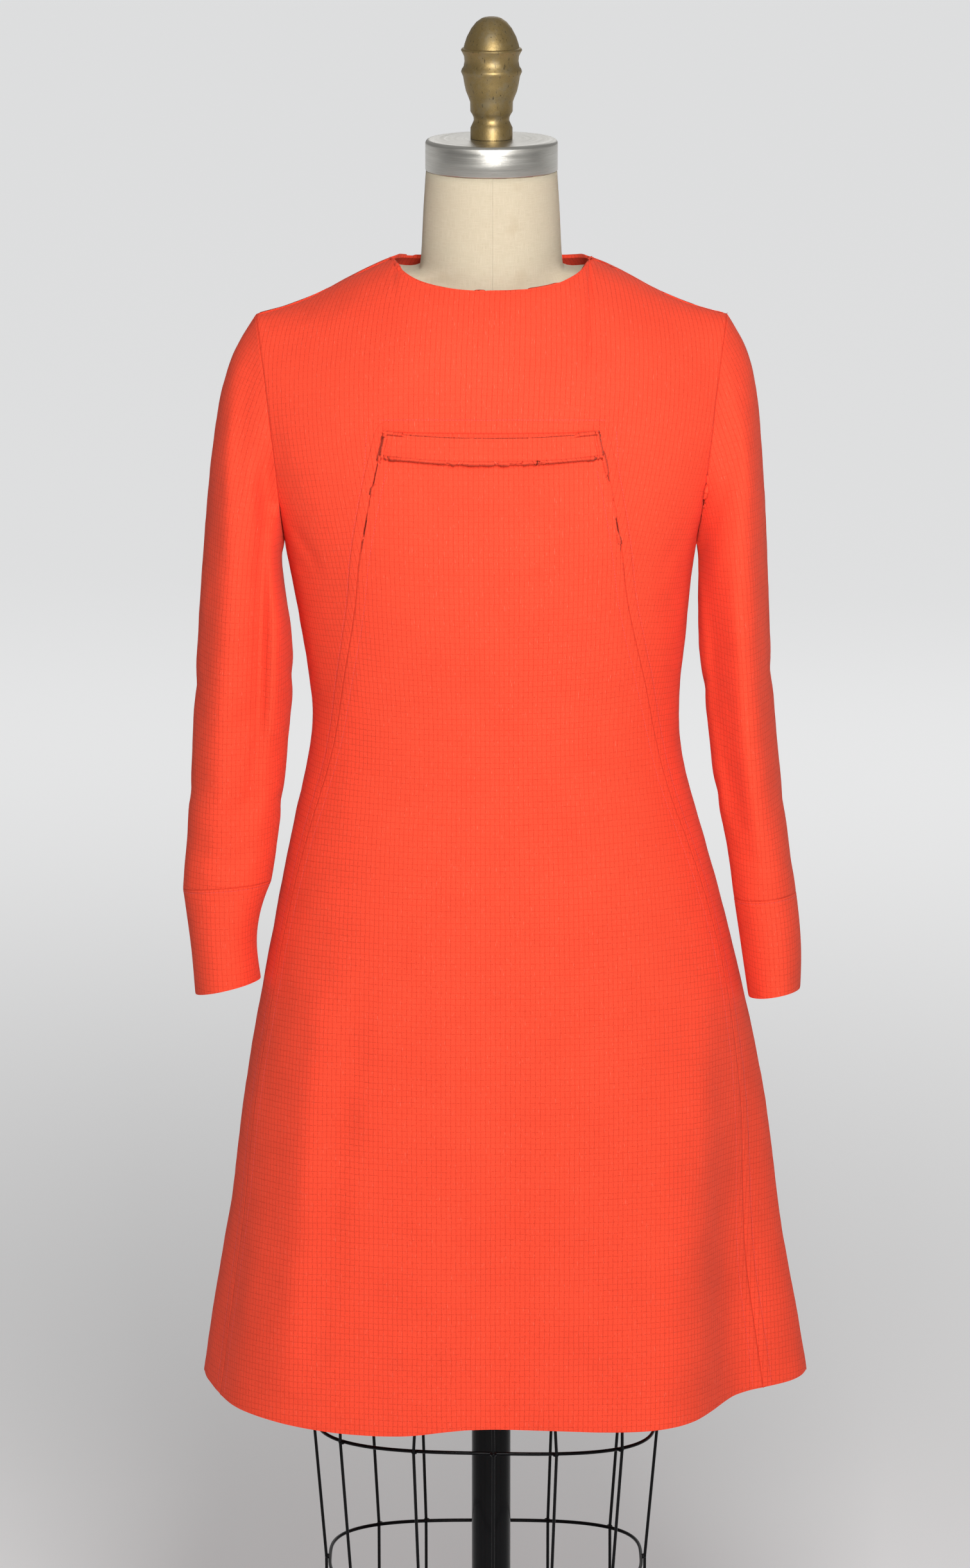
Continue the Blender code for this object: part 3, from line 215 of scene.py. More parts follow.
# %% [markdown]
# ## Peeling a sheet off a solid
#
# Each cloth solid is a wall 2 mm thick with the big folds already in it. A finer piece could be draped by
# simulation, but then no seam would still meet its neighbour. Instead the outer face of the wall is peeled
# off: a copy is welded, one outer face is picked, everything that joins it without a sharp edge is kept, and
# the rest is deleted. Triangles become quads again, and a subdivision surface makes them smooth. Pieces that
# shared corners along a seam still share them afterwards, because an edge is smoothed only from its own
# corners.
#
# A pattern piece is cut flat, so its weave runs straight up the middle of it and turns with the cloth where
# it bends. An angle-based unwrap finds that flat shape while the sheet still has few faces, and the
# subdivision carries it along. A tube is first opened along its underarm, like a sleeve before it is sewn.
#
# Last, a strip 1.2 mm wide is inset along every edge. It holds the turned edge of the cloth.

# %% Helpers for meshes
EDGE_STRIP = 0.0012
SLIT = 0.0004              # corners closer than this are one corner
SHARP = math.radians(50)
MOST_STEPS, LEAST_DROP = 60, 0.0005      # bounds for the walk down a tube


def only(piece):
    """Makes a piece the only one selected, and active."""
    if bpy.context.object and bpy.context.object.mode != "OBJECT":
        bpy.ops.object.mode_set(mode="OBJECT")
    bpy.ops.object.select_all(action="DESELECT")
    piece.select_set(True)
    bpy.context.view_layer.objects.active = piece


def edit(piece, select="DESELECT", mode="FACE"):
    """Opens a piece in edit mode with all or nothing selected."""
    only(piece)
    bpy.ops.object.mode_set(mode="EDIT")
    bpy.ops.mesh.select_mode(type=mode)
    bpy.ops.mesh.select_all(action=select)


def close():
    bpy.ops.object.mode_set(mode="OBJECT")


def apply_modifier(piece, kind, **settings):
    """Adds a modifier with its settings and applies it."""
    only(piece)
    modifier = piece.modifiers.new(kind.lower(), kind)
    for key, value in settings.items():
        setattr(modifier, key, value)
    bpy.ops.object.modifier_apply(modifier=modifier.name)


def smooth_over(piece, levels, **settings):
    apply_modifier(piece, "SUBSURF", levels=levels, render_levels=levels, **settings)


def round_edges(piece, width, segments, degrees):
    """Bevels every edge that turns by more than an angle."""
    apply_modifier(piece, "BEVEL", width=width, segments=segments, limit_method="ANGLE",
                   angle_limit=math.radians(degrees))


def smooth_by_angle(piece, degrees):
    only(piece)
    bpy.ops.object.shade_smooth_by_angle(angle=math.radians(degrees))


def corners(piece):
    """The piece's corners as an array, one row each."""
    places = np.empty(3 * len(piece.data.vertices))
    piece.data.vertices.foreach_get("co", places)
    return places.reshape(-1, 3)


def normals(piece):
    ways = np.empty(3 * len(piece.data.vertices))
    piece.data.vertices.foreach_get("normal", ways)
    return ways.reshape(-1, 3)


def move_to(piece, places):
    piece.data.vertices.foreach_set("co", np.asarray(places).ravel())
    piece.data.update()


def in_scene(name, data):
    """A new object for a mesh or a curve, linked to the scene."""
    piece = bpy.data.objects.new(name, data)
    bpy.context.scene.collection.objects.link(piece)
    data.name = name
    return piece


@contextmanager
def opened(piece, write=False):
    """A piece's mesh as a bmesh, written back afterwards if asked."""
    shape = bmesh.new()
    shape.from_mesh(piece.data)
    yield shape
    if write:
        shape.to_mesh(piece.data)
    shape.free()


def copy_of(node, name):
    """A welded copy of a CAD node's mesh as a new object."""
    piece = in_scene(name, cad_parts[node].data.copy())
    edit(piece, "SELECT", "VERT")
    bpy.ops.mesh.remove_doubles(threshold=0.00001)
    close()
    return piece


def to_quads():
    bpy.ops.mesh.tris_convert_to_quads(face_threshold=math.pi, shape_threshold=math.pi,
                                       topology_influence=2.0)


def open_tube(piece, way):
    """Marks a seam down a tube on the side that faces a way. It keeps close to one line from top to foot."""
    with opened(piece, write=True) as shape:
        ends = [v for v in shape.verts if v.is_boundary]
        middle_z = sum(v.co.z for v in ends) / len(ends)
        here = max((v for v in ends if v.co.z > middle_z), key=lambda v: v.co.dot(way) - v.co.z)
        for _ in range(MOST_STEPS):
            down = [e for e in here.link_edges if not e.is_boundary and not e.seam
                    and e.other_vert(here).co.z < here.co.z - LEAST_DROP]
            if not down or (here.is_boundary and here.co.z < middle_z):
                break
            step = min(down, key=lambda e: (e.other_vert(here).co - here.co).normalized().z)
            step.seam = True
            here = step.other_vert(here)
        return here.co.z


def lay_flat(piece):
    """Unwraps a sheet of few faces into its flat shape."""
    while piece.data.uv_layers:
        piece.data.uv_layers.remove(piece.data.uv_layers[0])
    piece.data.uv_layers.new(name="flat")
    edit(piece, "SELECT")
    bpy.ops.uv.unwrap(method="ANGLE_BASED", margin=0.0)
    close()


def peel(node, name, pin, way, opened_to):
    """The outer sheet of a cloth solid. A pin pushed in from outside meets it first."""
    piece = copy_of(node, name)
    seed = piece.ray_cast(Vector(pin), Vector(way))[3]
    edit(piece)
    close()
    piece.data.polygons[seed].select = True
    bpy.ops.object.mode_set(mode="EDIT")
    bpy.ops.mesh.faces_select_linked_flat(sharpness=SHARP)
    bpy.ops.mesh.select_all(action="INVERT")
    bpy.ops.mesh.delete(type="FACE")
    bpy.ops.mesh.select_all(action="SELECT")
    bpy.ops.mesh.remove_doubles(threshold=SLIT)
    bpy.ops.mesh.fill_holes(sides=5)
    bpy.ops.mesh.select_all(action="SELECT")
    to_quads()
    close()
    print(f"{name}: {len(piece.data.polygons)} quads before smoothing")
    if opened_to is not None:
        print(f"  opened down to height {open_tube(piece, Vector(opened_to)):.3f}")
    lay_flat(piece)
    smooth_over(piece, 3, boundary_smooth="PRESERVE_CORNERS")
    edit(piece, "SELECT")
    bpy.ops.mesh.inset(thickness=EDGE_STRIP, use_boundary=True, use_even_offset=False)
    close()
    piece.data.shade_smooth()
    return piece


# %% Peel all the cloth pieces
Peeled = namedtuple("Peeled", "node name pin way opened_to")
PEELED = [
    Peeled("front_centre", "centre_front", (0, -1, 0.9), (0, 1, 0), None),
    Peeled("front_yoke", "upper_and_side_fronts", (0.12, -1, 1.25), (0, 1, 0), None),
    Peeled("back_right", "right_back", (-0.08, 1, 0.9), (0, -1, 0), None),
    Peeled("back_left", "left_back", (0.08, 1, 0.9), (0, -1, 0), None),
    Peeled("sleeve_right", "right_sleeve", (-1, 0, 1.1), (1, 0, 0), (1, 0, 0)),
    Peeled("sleeve_left", "left_sleeve", (1, 0, 1.1), (-1, 0, 0), (-1, 0, 0)),
    Peeled("cuff_right", "right_cuff", (-1, -0.02, 0.86), (1, 0, 0), (1, 0, 0)),
    Peeled("cuff_left", "left_cuff", (1, -0.02, 0.86), (-1, 0, 0), (-1, 0, 0)),
    Peeled("chest_band", "band_across_chest", (0, -1, 1.313), (0, 1, 0), None),
]
sheets = {row.node: peel(*row) for row in PEELED}
print("peeled", len(sheets), "sheets,", sum(len(s.data.polygons) for s in sheets.values()), "faces")

# %% [markdown]
# ## The size each piece was cut to
#
# The unwrapped shape comes out at any size and turned anyhow. It is scaled until its area is the cloth's own
# area, and turned until "up" on the body is up on the flat piece. Then one unit of the flat map is one metre
# of cloth, and a weave drawn on it has its true size.


def turned(flat, angle):
    """Flat places turned anticlockwise by an angle."""
    return flat @ np.array([[math.cos(angle), math.sin(angle)], [-math.sin(angle), math.cos(angle)]])


def flat_map(piece):
    flat = np.empty(2 * len(piece.data.loops))
    piece.data.uv_layers["flat"].data.foreach_get("uv", flat)
    return flat.reshape(-1, 2)


def true_size(piece):
    """Puts the flat map in metres with the grain upright."""
    mesh = piece.data
    mesh.calc_loop_triangles()
    count = len(mesh.loop_triangles)
    loops, verts = np.empty(3 * count, int), np.empty(3 * count, int)
    mesh.loop_triangles.foreach_get("loops", loops)
    mesh.loop_triangles.foreach_get("vertices", verts)
    flat, places = flat_map(piece), corners(piece)
    a, b, c = (places[verts.reshape(-1, 3)[:, i]] for i in range(3))
    p, q, r = (flat[loops.reshape(-1, 3)[:, i]] for i in range(3))
    real = 0.5 * np.linalg.norm(np.cross(b - a, c - a), axis=1).sum()
    drawn = 0.5 * ((q - p)[:, 0] * (r - p)[:, 1] - (q - p)[:, 1] * (r - p)[:, 0]).sum()
    flat *= math.sqrt(real / abs(drawn))
    if drawn < 0:
        flat[:, 0] *= -1
    owner = np.empty(len(mesh.loops), int)
    mesh.loops.foreach_get("vertex_index", owner)
    spread = np.c_[flat - flat.mean(axis=0), np.ones(len(flat))]
    slope = np.linalg.lstsq(spread, places[owner][:, 2], rcond=None)[0][:2]
    flat = turned(flat, math.atan2(slope[0], slope[1]))
    flat -= flat.min(axis=0)
    mesh.uv_layers["flat"].data.foreach_set("uv", flat.ravel())


for sheet in sheets.values():
    true_size(sheet)

# %% [markdown]
# ## Measuring on a sheet
#
# The next steps move corners by how far they are from an edge, a seam or a line. Vertex groups and
# proportional editing do that by hand. Arrays of the corners' places do it in code, with a tree to look up
# the nearest one.

# %% Helpers for measuring
def rim(piece):
    """Numbers of the corners on the sheet's own edge."""
    with opened(piece) as shape:
        return np.array([v.index for v in shape.verts if v.is_boundary])


def nearest(places, targets):
    """For each place, the number of the nearest target and its distance."""
    tree = KDTree(len(targets))
    for i, target in enumerate(targets):
        tree.insert(target, i)
    tree.balance()
    found = [tree.find(place) for place in places]
    return np.array([f[1] for f in found]), np.array([f[2] for f in found])


def smooth_fade(share):
    """1 at a share of 0 and 0 from a share of 1 on, with no kink."""
    share = np.clip(share, 0, 1)
    return 1 - share * share * (3 - 2 * share)


# %% [markdown]
# ## Creases and small folds
#
# The largest folds are in the solids. On top of them the cloth carries shallow creases: pulls under the
# arms, a long trough beside the princess seam, broken folds in the sleeves. Each one is a line drawn on the
# front, the back or a side view of the dress, with a depth and a width in mm. The cloth beside the line is
# pushed straight in or out, so two pieces that meet at a seam move together and the seam stays shut.
# Sculpting by hand would look the same, but it couldn't be read or changed later.

# %% Creases
FACES_ENOUGH = 0.15        # cloth that faces the view by this much or more takes the whole crease
UNEVEN = 0.0005
FRONT, SLEEVES = ("centre_front", "upper_and_side_fronts"), ("right_sleeve", "left_sleeve")
BACKS = ("right_back", "left_back")
# the axis across the drawing, the axis out of it, and which way along that axis is out of the cloth
FACINGS = {"front": (0, 1, -1), "back": (0, 1, 1), "right": (1, 0, -1), "left": (1, 0, 1)}
# each crease is its line across and up the view, its depth, negative where it goes in, and its width
CREASES = {
    ("front", FRONT): [
        ([(-110, 850), (-121, 767), (-135, 664), (-143, 560)], -3.6, 14),
        ([(-149, 830), (-162, 710), (-178, 500)], 3.0, 14),
        ([(1, 830), (8, 700), (16, 560)], -3.0, 18),
        ([(-24, 549), (-24, 466)], -1.8, 6),
        ([(75, 536), (94, 495)], -1.8, 7),
        ([(36, 600), (83, 582), (122, 567)], -0.9, 8),
        ([(182, 820), (187, 650), (188, 500)], 3.4, 13),
        ([(-219, 626), (-226, 544), (-232, 502)], -2.0, 7),
        ([(-170, 1240), (-146, 1202)], -2.8, 5),
        ([(-172, 1218), (-150, 1180)], -1.6, 6),
        ([(-168, 1180), (-140, 1140)], -0.9, 8),
        ([(160, 1230), (142, 1196)], -1.5, 6),
        ([(168, 1190), (140, 1150)], -0.8, 8),
        ([(-60, 1060), (-20, 1052), (30, 1058)], -0.5, 10),
        ([(-120, 1010), (-70, 1000)], -0.6, 9),
        ([(60, 1030), (115, 1010)], -0.6, 9),
    ],
    ("front", SLEEVES): [
        ([(-184, 1330), (-193, 1278), (-196, 1166), (-199, 1054), (-206, 1000)], -6.5, 6),
        ([(-177, 1300), (-181, 1166), (-185, 1060)], 11, 8),
        ([(-212, 1400), (-224, 1345), (-228, 1240)], 2.6, 8),
        ([(-205, 1370), (-214, 1300), (-216, 1200)], -2.2, 7),
        ([(-193, 1256), (-174, 1240)], -3.0, 4),
        ([(-192, 1243), (-176, 1222)], -3.0, 4),
        ([(-180, 1212), (-175, 1172)], -3.0, 6),
        ([(-192, 1085), (-214, 1066), (-236, 1058)], -2.2, 8),
        ([(-190, 1014), (-212, 992), (-240, 984)], -3.0, 8),
        ([(-196, 960), (-222, 944), (-250, 946)], -2.4, 8),
        ([(180, 1290), (180, 1198), (189, 1136), (192, 1074), (203, 1012), (209, 975)], -10, 8),
        ([(203, 1198), (211, 1136), (213, 1074), (222, 1012), (228, 975)], 3.0, 8),
        ([(198, 1396), (207, 1340), (222, 1275), (228, 1223)], 2.6, 8),
        ([(190, 1380), (198, 1330), (212, 1260)], -2.0, 7),
        ([(186, 1098), (206, 1080), (232, 1078)], -2.0, 8),
        ([(196, 972), (214, 950), (240, 944)], -2.6, 8),
    ],
    ("left", SLEEVES): [
        ([(-40, 1120), (0, 1095), (30, 1100)], -1.5, 9),
        ([(-38, 1000), (-4, 985), (26, 995)], -1.4, 9),
    ],
    ("right", SLEEVES): [
        ([(-40, 1105), (0, 1085), (30, 1090)], -1.5, 9),
        ([(-38, 1010), (-4, 990), (26, 1000)], -1.4, 9),
    ],
    ("back", BACKS): [
        ([(-150, 1225), (-120, 1190), (-80, 1170)], -1.8, 9),
        ([(150, 1225), (120, 1190), (84, 1172)], -1.8, 9),
        ([(-130, 1080), (-80, 1070), (-30, 1078)], -1.4, 10),
        ([(130, 1090), (80, 1078), (24, 1072)], -1.4, 10),
        ([(-120, 1045), (-70, 1035), (-20, 1040)], -1.0, 9),
        ([(110, 1050), (60, 1042)], -1.0, 9),
        ([(-60, 900), (-66, 780), (-78, 560)], -2.0, 16),
        ([(70, 900), (78, 760), (92, 540)], -2.0, 16),
        ([(120, 860), (134, 700), (150, 560)], 1.8, 14),
        ([(-120, 850), (-134, 690), (-146, 540)], 1.8, 14),
    ],
}


def distance_to_line(flat, path):
    """Distance of flat places to a broken line, and how far along it they lie, from 0 to 1."""
    path = np.array(path, float)
    lengths = np.linalg.norm(np.diff(path, axis=0), axis=1)
    starts = np.r_[0, np.cumsum(lengths)]
    best, along = np.full(len(flat), np.inf), np.zeros(len(flat))
    for a, b, length, start in zip(path, path[1:], lengths, starts):
        share = np.clip(((flat - a) @ (b - a)) / length ** 2, 0, 1)
        distance = np.linalg.norm(flat - (a + share[:, None] * (b - a)), axis=1)
        nearer = distance < best
        best[nearer] = distance[nearer]
        along[nearer] = (start + share[nearer] * length) / starts[-1]
    return best, along


def press_creases(piece):
    """Pushes the creases drawn for a piece into its sheet, then a slight unevenness everywhere."""
    places, ways = corners(piece), normals(piece)
    push = np.zeros_like(places)
    for (view, pieces), creases in CREASES.items():
        if piece.name not in pieces:
            continue
        across, out_axis, side = FACINGS[view]
        facing = 1 - smooth_fade(ways[:, out_axis] * side / FACES_ENOUGH)
        for path, depth, width in creases:
            distance, along = distance_to_line(1000 * places[:, (across, 2)], path)
            ends = np.sin(np.pi * np.clip(along * 0.86 + 0.07, 0, 1)) ** 0.6
            amount = 0.001 * depth * np.exp(-(distance / width) ** 2) * ends * facing
            push[:, out_axis] += side * amount
    uneven = [noise.noise(Vector(p) * 28) + 0.6 * noise.noise(Vector(p) * 75) for p in places]
    push += ways * (UNEVEN * np.array(uneven))[:, None]
    places += push
    move_to(piece, places)
    return 1000 * np.linalg.norm(push, axis=1).max()


for node in ("front_centre", "front_yoke", "sleeve_right", "sleeve_left", "back_right", "back_left"):
    print(f"{sheets[node].name}: pushed by up to {press_creases(sheets[node]):.1f} mm")

# %% [markdown]
# ## Closing the seams
#
# In a sewn seam no light comes through. The solids keep 0.3 mm between neighbours, so here one piece of each
# pair follows the other: its edge moves onto the other's edge and 0.6 mm under it, as the seam allowance
# does. The cloth beside it follows for 6 mm.

# %% Close the seams
SEAM_TAKES_UP, SEAM_FADE = 0.0016, 0.006
ARMHOLE_TAKES_UP, SLEEVE_HEAD = 0.011, 0.025      # a sleeve head stands further off its armhole
LAP = 0.0006


def edge_pieces(piece):
    """The short straight pieces of a sheet's own edge, as two arrays of ends."""
    with opened(piece) as shape:
        ends = np.array([[tuple(v.co) for v in e.verts] for e in shape.edges if e.is_boundary])
    return ends[:, 0], ends[:, 1]


def onto(places, starts, ends):
    """The closest place to each one on any of the straight pieces."""
    spans = ends - starts
    lengths = (spans ** 2).sum(axis=1) + 1e-12
    closest = []
    for place in places:
        share = np.clip(((place - starts) * spans).sum(axis=1) / lengths, 0, 1)
        met = starts + share[:, None] * spans
        closest.append(met[((met - place) ** 2).sum(axis=1).argmin()])
    return np.array(closest)


def close_seam(node, leaders, reach, fade):
    """Moves a sheet's edge onto its neighbours' edges, where they are within reach, and a little under."""
    starts, ends = (np.vstack(part) for part in zip(*[edge_pieces(sheets[n]) for n in leaders]))
    places, edge = corners(sheets[node]), rim(sheets[node])
    inner = np.setdiff1d(np.arange(len(places)), edge)
    met = onto(places[edge], starts, ends)
    away = np.linalg.norm(met - places[edge], axis=1)
    chosen = away < reach
    beside, _ = nearest(places[edge], places[inner])
    outward = places[edge] - places[inner[beside]]
    outward /= np.linalg.norm(outward, axis=1)[:, None] + 1e-9
    pull = met - places[edge] + outward * LAP
    pull[~chosen] = 0
    number, distance = nearest(places, places[edge])
    places += pull[number] * smooth_fade(distance / fade)[:, None]
    move_to(sheets[node], places)
    print(f"{node}: {chosen.sum()} corners closed by up to {1000 * away[chosen].max():.2f} mm")


close_seam("front_yoke", ["front_centre"], SEAM_TAKES_UP, SEAM_FADE)
for node in ("back_right", "back_left"):
    close_seam(node, ["front_yoke"], SEAM_TAKES_UP, SEAM_FADE)
for side_name in ("right", "left"):
    close_seam(f"sleeve_{side_name}", ["front_yoke", "back_right", "back_left"],
               ARMHOLE_TAKES_UP, SLEEVE_HEAD)
    close_seam(f"cuff_{side_name}", [f"sleeve_{side_name}"], SEAM_TAKES_UP, SEAM_FADE)

# %% [markdown]
# ## The band across the chest
#
# The band is a folded strip, sewn in along its top and at both ends, and free along its lower edge. So it
# leans: its top lies on the dress and its lower edge stands off in the middle and throws a shadow.

# %% Lean the band onto the dress
BAND_REST = 0.0016        # its outer face stands this far out where it is sewn down
BAND_HANGS = 0.0066       # and this far out at its free lower edge
BAND_SLANT = 0.0036       # its ends run along the princess seams
BAND_FREE, BAND_END = 0.079, 0.0885      # it hangs free out to the first distance and is held at the second
BAND_LOOSE, BAND_SEWN = 0.005, 0.003     # how much hangs at its lower edge and is sewn down at its top
BEFORE_ALL = -0.3                        # a place in front of the dress


def faces_of(*nodes):
    """A search tree of the outer faces of one or more sheets."""
    places, faces = [], []
    for node in nodes:
        faces += [tuple(v + len(places) for v in f.vertices) for f in sheets[node].data.polygons]
        places += [tuple(p) for p in corners(sheets[node])]
    return BVHTree.FromPolygons(places, faces)


front_faces = faces_of("front_yoke", "front_centre")
band = sheets["chest_band"]
places = corners(band)
gaps = np.array([y - front_faces.ray_cast(Vector((x, BEFORE_ALL, z)), Vector((0, 1, 0)))[0][1]
                 for x, y, z in places])
low, high = places[:, 2].min() + BAND_LOOSE, places[:, 2].max() - BAND_SEWN
lower = smooth_fade((places[:, 2] - low) / (high - low))
at_ends = 1 - smooth_fade((np.abs(places[:, 0]) - BAND_FREE) / (BAND_END - BAND_FREE))
held = np.maximum(1 - lower, at_ends)
stands_off = BAND_REST + (BAND_HANGS - BAND_REST) * (1 - held)
places[:, 1] += (-gaps - stands_off) * (-gaps > stands_off)
places[:, 0] += np.sign(places[:, 0]) * BAND_SLANT * at_ends * lower
move_to(band, places)
print(f"the band stood off by {-1000 * gaps.min():.1f} mm at most")

# %% [markdown]
# ## Turned edges, seams and the thickness of the cloth
#
# At a seam the cloth dips: both edges are turned in and pulled down by the thread. At a neck or hem the edge
# is folded under and looks round. Both come from the same move. The last row of each sheet sinks by less than
# half a millimetre and the row beside it hardly at all. Then a Solidify modifier gives the 2 mm of a lined
# wool, inwards, so the outer face stays where it is.
#
# Two numbers go onto every corner before that: how far it is from a sewn seam, and how far from the line of
# topstitching. The wool material presses its grooves from them, and paints shade along the seams.

# %% Measure from the seams, tuck the edges, and give the cloth its wall
SEAM_DIP, LAPPED_DIP, HEM_DIP = 0.00015, 0.00030, 0.00030
CLOTH = 0.002
SAME_SEAM = 0.0035         # edges of two pieces that are closer than this are one seam
RIM_TURN = math.radians(60)
FAR_MM, SEWN_MM = 30.0, 1.5
edges_now = {node: corners(sheet)[rim(sheet)] for node, sheet in sheets.items()}


def shared_places(node, *others):
    """Corners on a sheet's edge that lie on a seam with any of the others."""
    _, distance = nearest(edges_now[node], np.vstack([edges_now[other] for other in others]))
    return edges_now[node][distance < SAME_SEAM]


def keep_measure(piece, name, values):
    mark = piece.data.attributes.new(name, "FLOAT", "POINT")
    mark.data.foreach_set("value", np.asarray(values, np.float32))


def distances_mm(places, targets):
    if not len(targets):
        return np.full(len(places), FAR_MM)
    return np.minimum(1000 * nearest(places, targets)[1], FAR_MM)


LEADS = ("front_centre",)      # the piece whose edge lies on top at each of its seams
TOPSTITCHED = {"front_centre": ("front_yoke", 9.5), "front_yoke": ("front_centre", 9.5),
               "cuff_right": ("sleeve_right", 3.0), "cuff_left": ("sleeve_left", 3.0)}
for node, sheet in sheets.items():
    places = corners(sheet)
    seam = np.empty((0, 3))
    if node != "chest_band":
        seam = shared_places(node, *(n for n in edges_now if n not in (node, "chest_band")))
    keep_measure(sheet, "to_seam_mm", distances_mm(places, seam))
    from_stitch = np.full(len(places), FAR_MM)
    if node in TOPSTITCHED:
        other, offset = TOPSTITCHED[node]
        from_stitch = distances_mm(places, shared_places(node, other)) - offset
    keep_measure(sheet, "to_stitch_mm", from_stitch)
    edge = rim(sheet)
    sewn = distances_mm(places, seam) < SEWN_MM
    deep = np.where(sewn, SEAM_DIP if node in LEADS else LAPPED_DIP, HEM_DIP)
    dip = deep * smooth_fade(nearest(places, places[edge])[1] / (EDGE_STRIP * 1.3))
    places -= normals(sheet) * dip[:, None]
    move_to(sheet, places)
    print(f"{sheet.name}: {len(edge)} corners on its edge, {len(seam)} of them sewn")

outer_faces = {node: faces_of(node) for node in sheets}
seam_lines = {pair: shared_places(*pair)
              for pair in (("front_centre", "front_yoke"), ("cuff_right", "sleeve_right"),
                           ("cuff_left", "sleeve_left"), ("back_right", "back_left"))}


def sharpen_rim(piece, edge_corners, count):
    """Keeps the cut edges sharp, so that the cloth beside them isn't shaded as if it curved away."""
    with opened(piece, write=True) as shape:
        for edge in shape.edges:
            on_rim = all(corner.index % count in edge_corners for corner in edge.verts)
            if on_rim and edge.is_manifold and edge.calc_face_angle() > RIM_TURN:
                edge.smooth = False


def dress(piece, finish):
    piece.data.materials.clear()
    piece.data.materials.append(finish)


for node, sheet in sheets.items():
    edge_corners, count = set(rim(sheet).tolist()), len(sheet.data.vertices)
    apply_modifier(sheet, "SOLIDIFY", thickness=CLOTH, offset=-1.0, use_even_offset=False)
    sheet.data.shade_smooth()
    sharpen_rim(sheet, edge_corners, count)
    dress(sheet, crepe)
    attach(sheet, "root")
    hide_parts(node)
print("cloth has", sum(len(s.data.polygons) for s in sheets.values()), "faces")

# %% [markdown]
# ## Declaring the cloth
#
# Each piece is a sheet that was cut flat. The upper front is cut on the fold, as an upside-down U, so its
# flat width is twice that of the folded half, which is laid with its long leg upright.


def folded_cut(piece):
    """Width and length of a piece cut on the fold, with its folded half turned upright."""
    flat = flat_map(piece)
    half = flat[flat[:, 0] > 0.5 * flat[:, 0].max()]
    tried = [turned(half, math.radians(degrees)) for degrees in range(-30, 31)]
    width, length = min(tuple(shape.max(axis=0) - shape.min(axis=0)) for shape in tried)
    return 2 * float(width), float(length)


for node, sheet in sheets.items():
    if node == "front_yoke":
        width, length = folded_cut(sheet)

# %% [markdown]
# ## Topstitching
#
# Buttonhole silk in a paler pink runs 9.5 mm from the princess seams and the chest seam, and 3 mm below each
# cuff's seam. A dashed line in the material would be flat. Here one stitch is modelled as a grain of rice,
# 1.9 mm long and half sunk in the cloth, and copied every 2.6 mm along a line that is laid on the cloth.

# %% Copies along a line
STITCH_PITCH, STITCH_LENGTH, THREAD = 0.0026, 0.0019, 0.00040
Spot = namedtuple("Spot", "place along out")


def resample(line, pitch):
    """Places at an even pitch along a broken line."""
    line = np.asarray(line, float)
    steps = np.r_[0, np.cumsum(np.linalg.norm(np.diff(line, axis=0), axis=1))]
    at = np.arange(pitch / 2, steps[-1], pitch)
    return np.stack([np.interp(at, steps, line[:, i]) for i in range(3)], axis=1)


def soften(line, times):
    """Evens a broken line out, so that a seam's small jogs don't shake the stitches."""
    line = np.array(line, float)
    for _ in range(times):
        line[1:-1] = 0.25 * line[:-2] + 0.5 * line[1:-1] + 0.25 * line[2:]
    return line


def laid_spots(line, node, aside=0.0, toward=(0, 0, 0)):
    """Spots at the stitches' pitch along a line, moved aside on the cloth and laid on its face."""
    places, laid = resample(line, STITCH_PITCH), []
    for place, way in zip(places, np.gradient(places, axis=0)):
        out = outer_faces[node].find_nearest(Vector(place))[1]
        beside = Vector(way).normalized().cross(out).normalized()
        if beside.dot(Vector(toward)) < 0:
            beside.negate()
        laid.append(tuple(Vector(place) + beside * aside))
    laid = resample(soften(laid, 6), STITCH_PITCH)
    spots = []
    for place, way in zip(laid, np.gradient(laid, axis=0)):
        met, out, _, _ = outer_faces[node].find_nearest(Vector(place))
        way = Vector(way) - out * Vector(way).dot(out)
        spots.append(Spot(met, way.normalized(), out.normalized()))
    return spots


def lay_copies(name, model, spots):
    """One mesh with a copy of the model on each spot: its Y along the line and its Z out of the cloth."""
    shape = corners(model)
    faces = [tuple(f.vertices) for f in model.data.polygons]
    places, made = [], []
    for number, spot in enumerate(spots):
        turn = np.array([spot.along.cross(spot.out).normalized(), spot.along, spot.out])
        places.append(shape @ turn + np.array(spot.place))
        made += [tuple(v + number * len(shape) for v in face) for face in faces]
    mesh = bpy.data.meshes.new(name)
    mesh.from_pydata([tuple(p) for p in np.vstack(places)], [], made)
    mesh.shade_smooth()
    print(f"{name}: {len(spots)} copies, {len(made)} faces")
    return in_scene(name, mesh)


def put_in(piece, finish, slot, *nodes, body="root"):
    """Gives a piece its finish and its body, and hides the nodes it stands for. Its slot is not used."""
    dress(piece, finish)
    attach(piece, body)
    if nodes:
        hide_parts(*nodes)


def sized(name, size):
    """Names the shape that was just added, resizes it and applies the size."""
    bpy.context.object.name = name
    bpy.ops.transform.resize(value=size)
    bpy.ops.object.transform_apply(location=True, rotation=True, scale=True)
    return bpy.context.object


bpy.ops.object.select_all(action="DESELECT")
bpy.ops.mesh.primitive_uv_sphere_add(segments=6, ring_count=4, radius=0.5)
stitch = sized("one_stitch", (THREAD, STITCH_LENGTH, THREAD))
print("one stitch is", [round(1000 * d, 2) for d in stitch.dimensions], "mm")

# %% [markdown]
# ### The lines of stitches
#
# The seams are the edges that two sheets share, so their own corners, sorted downward, are the lines to
# follow.

